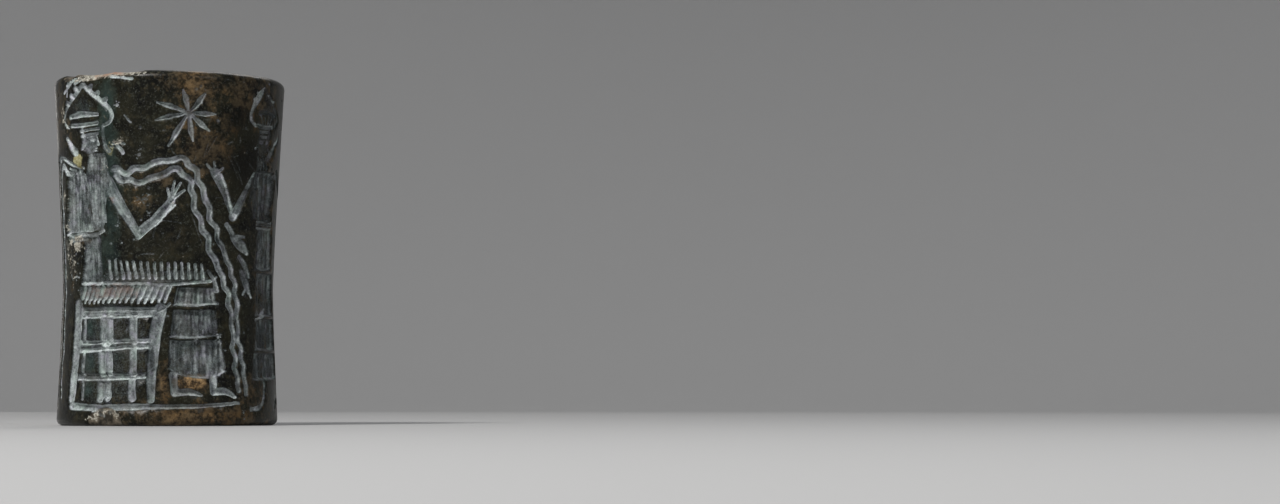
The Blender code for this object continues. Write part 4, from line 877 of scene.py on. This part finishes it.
def stone_material():
    mat = bpy.data.materials.new("dark_green_stone")
    mat.use_nodes = True
    net = Net(mat)
    nodes = mat.node_tree.nodes
    look = nodes["Principled BSDF"]
    where = net.add("ShaderNodeTexCoord").outputs["Object"]
    cuts = net.add("ShaderNodeAttribute", attribute_name="cut_marks")
    stone = net.add("ShaderNodeAttribute", attribute_name="stone_marks_and_sheen")
    c = net.add("ShaderNodeSeparateColor")
    d = net.add("ShaderNodeSeparateColor")
    net.link(cuts.outputs["Color"], c.inputs["Color"])
    net.link(stone.outputs["Color"], d.inputs["Color"])
    tone = net.math("MULTIPLY", c.outputs["Red"], 1.3)
    chip, cream, yellow = c.outputs["Green"], c.outputs["Blue"], cuts.outputs["Alpha"]
    # green carries the painted teal reflection down the front left as well as green tints
    brown, green, dark = d.outputs["Red"], d.outputs["Green"], d.outputs["Blue"]
    pink = stone.outputs["Alpha"]

    cloud = net.noise(where, 260, 5, 0.6)
    cast = net.noise(where, 620, 4, 0.7)       # lilac to green casts in the powder
    mottle = net.noise(where, 900, 6, 0.65)
    grain = net.noise(where, 3200, 4, 0.6)
    fleck = net.noise(where, 6500, 2, 0.5)

    def frayed(amount, big, small, low=0.42, high=0.6):
        """A patch with its edge broken up by the grain of the stone."""
        edge = net.math("ADD", net.math("MULTIPLY", net.math("SUBTRACT", mottle, 0.5), big),
                        net.math("MULTIPLY", net.math("SUBTRACT", grain, 0.5), small))
        return net.ramp(net.math("ADD", amount, edge), low, high)

    speckle = net.ramp(net.math("ADD", net.math("MULTIPLY", mottle, 0.6),
                                net.math("MULTIPLY", grain, 0.4)), 0.42, 0.58)

    base = net.mix(net.ramp(cloud, 0.40, 0.60), (0.0020, 0.0020, 0.0012), (0.0138, 0.0132, 0.0070))
    base = net.mix(net.ramp(mottle, 0.50, 0.66, 0, 0.8), base, (0.0330, 0.0290, 0.0150))
    base = net.mix(net.ramp(grain, 0.54, 0.66, 0, 0.8), base, (0.0430, 0.0450, 0.0330))
    base = net.mix(net.ramp(fleck, 0.66, 0.74, 0, 0.7), base, (0.0950, 0.0960, 0.0780))
    # green patches: green tints of the stone, and down the front left a painted teal reflection
    base = net.mix(net.math("MULTIPLY", frayed(green, 1.3, 0.6, 0.3, 0.9), 0.6), base,
                   (0.0250, 0.0510, 0.0480))
    base = net.mix(net.math("MULTIPLY", frayed(brown, 2.2, 0.8, 0.3, 0.75),
                            net.ramp(cloud, 0.35, 0.6, 0.55, 0.95)),
                   base, net.mix(net.ramp(brown, 0.75, 1.0),
                                 net.mix(speckle, (0.0270, 0.0180, 0.0095),
                                         net.mix(net.ramp(cloud, 0.50, 0.62),
                                                 (0.0860, 0.0620, 0.0350),
                                                 (0.1080, 0.0660, 0.0280))),
                                 net.mix(speckle, (0.0560, 0.0350, 0.0180),
                                         (0.4700, 0.3000, 0.1400))))
    base = net.mix(net.math("MULTIPLY", frayed(dark, 1.2, 0.4, 0.3, 0.8), 0.8), base,
                   (0.0034, 0.0030, 0.0020))

    chalk = net.ramp(net.math("ADD", net.math("MULTIPLY", grain, 0.6),
                              net.math("MULTIPLY", fleck, 0.4)), 0.40, 0.62)
    # the higher the tone, the paler the cut: the powder in the cuts and the painted highlight on their
    # walls
    pale = net.mix(net.ramp(tone, 0.35, 1.15), (0.0880, 0.1050, 0.1120), (0.7200, 0.7900, 0.7900))
    pale = net.mix(net.math("MULTIPLY", net.math("SUBTRACT", 1.0, chalk), 0.66), pale,
                   (0.0500, 0.0560, 0.0560))
    pale = net.mix(net.ramp(cloud, 0.48, 0.66, 0, 0.35), pale, (0.1200, 0.1080, 0.0880))
    pale = net.mix(net.ramp(cast, 0.53, 0.66, 0, 0.55), pale,
                   net.mix(net.ramp(tone, 0.35, 1.15), (0.1050, 0.0980, 0.1300),
                           (0.6900, 0.6700, 0.7900)))
    pale = net.mix(net.ramp(cast, 0.34, 0.47, 0.5, 0), pale,
                   net.mix(net.ramp(tone, 0.35, 1.15), (0.0780, 0.1080, 0.0960),
                           (0.6000, 0.7500, 0.6700)))
    pale = net.mix(net.math("MULTIPLY", frayed(brown, 1.0, 0.4, 0.3, 0.7), 0.45), pale,
                   (0.0800, 0.0640, 0.0480))
    # the same green patches tint the powder; down the front left this is painted teal reflection
    pale = net.mix(net.math("MULTIPLY", frayed(green, 0.8, 0.4, 0.4, 0.9), 0.3), pale,
                   (0.0700, 0.1250, 0.1080))
    pale = net.mix(net.math("MULTIPLY", frayed(pink, 1.2, 0.6), 0.5), pale, (0.2100, 0.1300, 0.1050))
    cover = net.ramp(net.math("ADD", tone, net.ramp(fleck, 0.3, 0.7, -0.16, 0.16)), 0.08, 0.5)
    colour = net.mix(net.math("MULTIPLY", cover, 0.94), base, pale)
    broken = net.mix(net.ramp(mottle, 0.42, 0.58), (0.0350, 0.0300, 0.0220), (0.1900, 0.1600, 0.1200))
    colour = net.mix(net.math("MULTIPLY", frayed(chip, 0.8, 0.6, 0.3, 0.6), 0.85), colour, broken)
    crust = frayed(cream, 1.6, 1.2)
    colour = net.mix(net.math("MULTIPLY", crust, 0.9), colour,
                     net.mix(chalk, (0.1500, 0.1350, 0.1050), (0.6000, 0.5800, 0.5000)))
    colour = net.mix(net.math("MULTIPLY", frayed(pink, 1.0, 0.6), net.math("MULTIPLY", chip, 0.8)),
                     colour, (0.2900, 0.1450, 0.0880))
    colour = net.mix(net.math("MULTIPLY", frayed(yellow, 0.6, 0.5, 0.35, 0.55), 0.9), colour,
                     net.mix(chalk, (0.2300, 0.2000, 0.0800), (0.4800, 0.4600, 0.2600)))
    net.link(colour, look.inputs["Base Color"])

    dull = net.math("ADD", net.math("MULTIPLY", cover, 0.34), net.math("MULTIPLY", chip, 0.25))
    dull = net.math("ADD", dull, net.math("MULTIPLY", net.math("ADD", crust, yellow), 0.3))
    gloss = net.math("ADD", net.ramp(mottle, 0.3, 0.7, 0.25, 0.38), dull, True)
    net.link(gloss, look.inputs["Roughness"])
    look.inputs["Metallic"].default_value = 0.0
    look.inputs["IOR"].default_value = 1.55
    look.inputs["Specular IOR Level"].default_value = 0.15

    rough = net.math("MULTIPLY", net.math("ADD", net.math("MULTIPLY", grain, 0.6),
                                          net.math("MULTIPLY", fleck, 0.4)),
                     net.math("ADD", net.math("MULTIPLY", cover, 0.8), 0.35))
    bump = net.add("ShaderNodeBump")
    bump.inputs["Strength"].default_value = 0.35
    bump.inputs["Distance"].default_value = 0.00012
    net.link(rough, bump.inputs["Height"])
    net.link(bump.outputs["Normal"], look.inputs["Normal"])
    return mat


def plain_material(name, colour, rough):
    mat = bpy.data.materials.new(name)
    mat.use_nodes = True
    look = mat.node_tree.nodes["Principled BSDF"]
    look.inputs["Base Color"].default_value = (*colour, 1)
    look.inputs["Roughness"].default_value = rough
    look.inputs["Specular IOR Level"].default_value = 0.2
    return mat


def make_seal():
    cut = Relief(GRID)
    enthroned(cut)
    vizier(cut)
    bird_man(cut)
    guards(cut)
    marks(cut)
    cut.finish()
    scratches(cut, 200, 5)
    seal = turned_body("seal_carved")
    engrave(seal, cut)
    thin_out(seal)
    paint(seal, cut)
    seal.data.materials.clear()
    seal.data.materials.append(stone_material())
    seal.data.shade_smooth()
    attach(seal, "root")
    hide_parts("seal_stone")
    return seal


# ------------------------------------------------------------ stage and camera
def make_stage():
    """A round floor that curves up into a plain wall on every side."""
    outline = [(0.0, 0.0), (0.1, 0.0), (0.45, 0.0)]
    for k in range(1, 13):
        a = math.radians(90 * k / 12)
        outline.append((0.45 + 0.25 * math.sin(a), 0.25 - 0.25 * math.cos(a)))
    outline.append((0.70, 0.9))
    work = bmesh.new()
    for radius, height in outline:
        work.verts.new((radius, 0, height))
    work.verts.ensure_lookup_table()
    for k in range(len(outline) - 1):
        work.edges.new((work.verts[k], work.verts[k + 1]))
    bmesh.ops.spin(work, geom=work.verts[:] + work.edges[:], cent=(0, 0, 0), axis=(0, 0, 1),
                   angle=2 * math.pi, steps=96, use_duplicate=False)
    bmesh.ops.remove_doubles(work, verts=work.verts[:], dist=1e-5)
    bmesh.ops.recalc_face_normals(work, faces=work.faces[:])
    mesh = bpy.data.meshes.new("studio_bowl")
    work.to_mesh(mesh)
    work.free()
    mesh.shade_smooth()
    bowl = bpy.data.objects.new("studio_bowl", mesh)
    bowl.location.z = -0.00002
    bpy.context.scene.collection.objects.link(bowl)
    mesh.materials.append(plain_material("pale_floor", (0.46, 0.46, 0.46), 0.85))


def area_light(name, place, aim, size, power, colour=(1, 1, 1)):
    data = bpy.data.lights.new(name, "AREA")
    data.shape = "RECTANGLE"
    data.size, data.size_y = size
    data.energy = power
    data.color = colour
    lamp = bpy.data.objects.new(name, data)
    lamp.location = place
    lamp.visible_camera = False
    from mathutils import Vector
    lamp.rotation_euler = (Vector(aim) - Vector(place)).to_track_quat("-Z", "Y").to_euler()
    bpy.context.scene.collection.objects.link(lamp)
    return lamp


def make_light():
    world = bpy.data.worlds.new("studio")
    world.use_nodes = True
    world.node_tree.nodes["Background"].inputs["Color"].default_value = (0.9, 0.93, 1.0, 1)
    world.node_tree.nodes["Background"].inputs["Strength"].default_value = 0.25
    bpy.context.scene.world = world
    area_light("key", (-0.24, -0.34, 0.40), (0, 0, 0.02), (0.10, 0.10), 2.75, (1.0, 0.985, 0.965))
    area_light("fill", (0.30, -0.40, 0.30), (0, 0, 0.02), (0.2, 0.2), 0.35, (0.92, 0.96, 1.0))
    area_light("back", (0.12, 0.36, 0.42), (0, 0, 0.02), (0.25, 0.25), 0.55, (1.0, 0.99, 0.97))
    area_light("edge", (-0.10, 0.42, 0.06), (0, 0, 0.02), (0.05, 0.10), 0.035, (1.0, 0.99, 0.95))


FOCAL_PX = 2992.0        # focal length in pixels of a frame 1280 wide
FRAME_W, FRAME_H = 1280, 504
DISTANCE = 0.334         # from the camera to the seal's axis
AXIS_PX = (168.3, 427.0)  # where the foot's centre falls in the frame
EYE = 0.0026             # camera height above the floor


def make_camera():
    data = bpy.data.cameras.new("camera")
    data.sensor_fit = "HORIZONTAL"
    data.sensor_width = 36.0
    data.lens = FOCAL_PX / FRAME_W * 36.0
    data.clip_start, data.clip_end = 0.01, 10
    cam = bpy.data.objects.new("camera", data)
    cam.location = (0, -DISTANCE, EYE)
    yaw = math.atan((FRAME_W / 2 - AXIS_PX[0]) / FOCAL_PX)
    below = (AXIS_PX[1] - FRAME_H / 2) / FOCAL_PX
    pitch = math.atan(below * math.cos(yaw)) - math.atan(EYE / DISTANCE)
    cam.rotation_euler = (math.radians(90) + pitch, 0, -yaw)
    bpy.context.scene.collection.objects.link(cam)
    bpy.context.scene.camera = cam


make_seal()
make_stage()
make_light()
make_camera()
bpy.context.scene.view_settings.view_transform = "Standard"
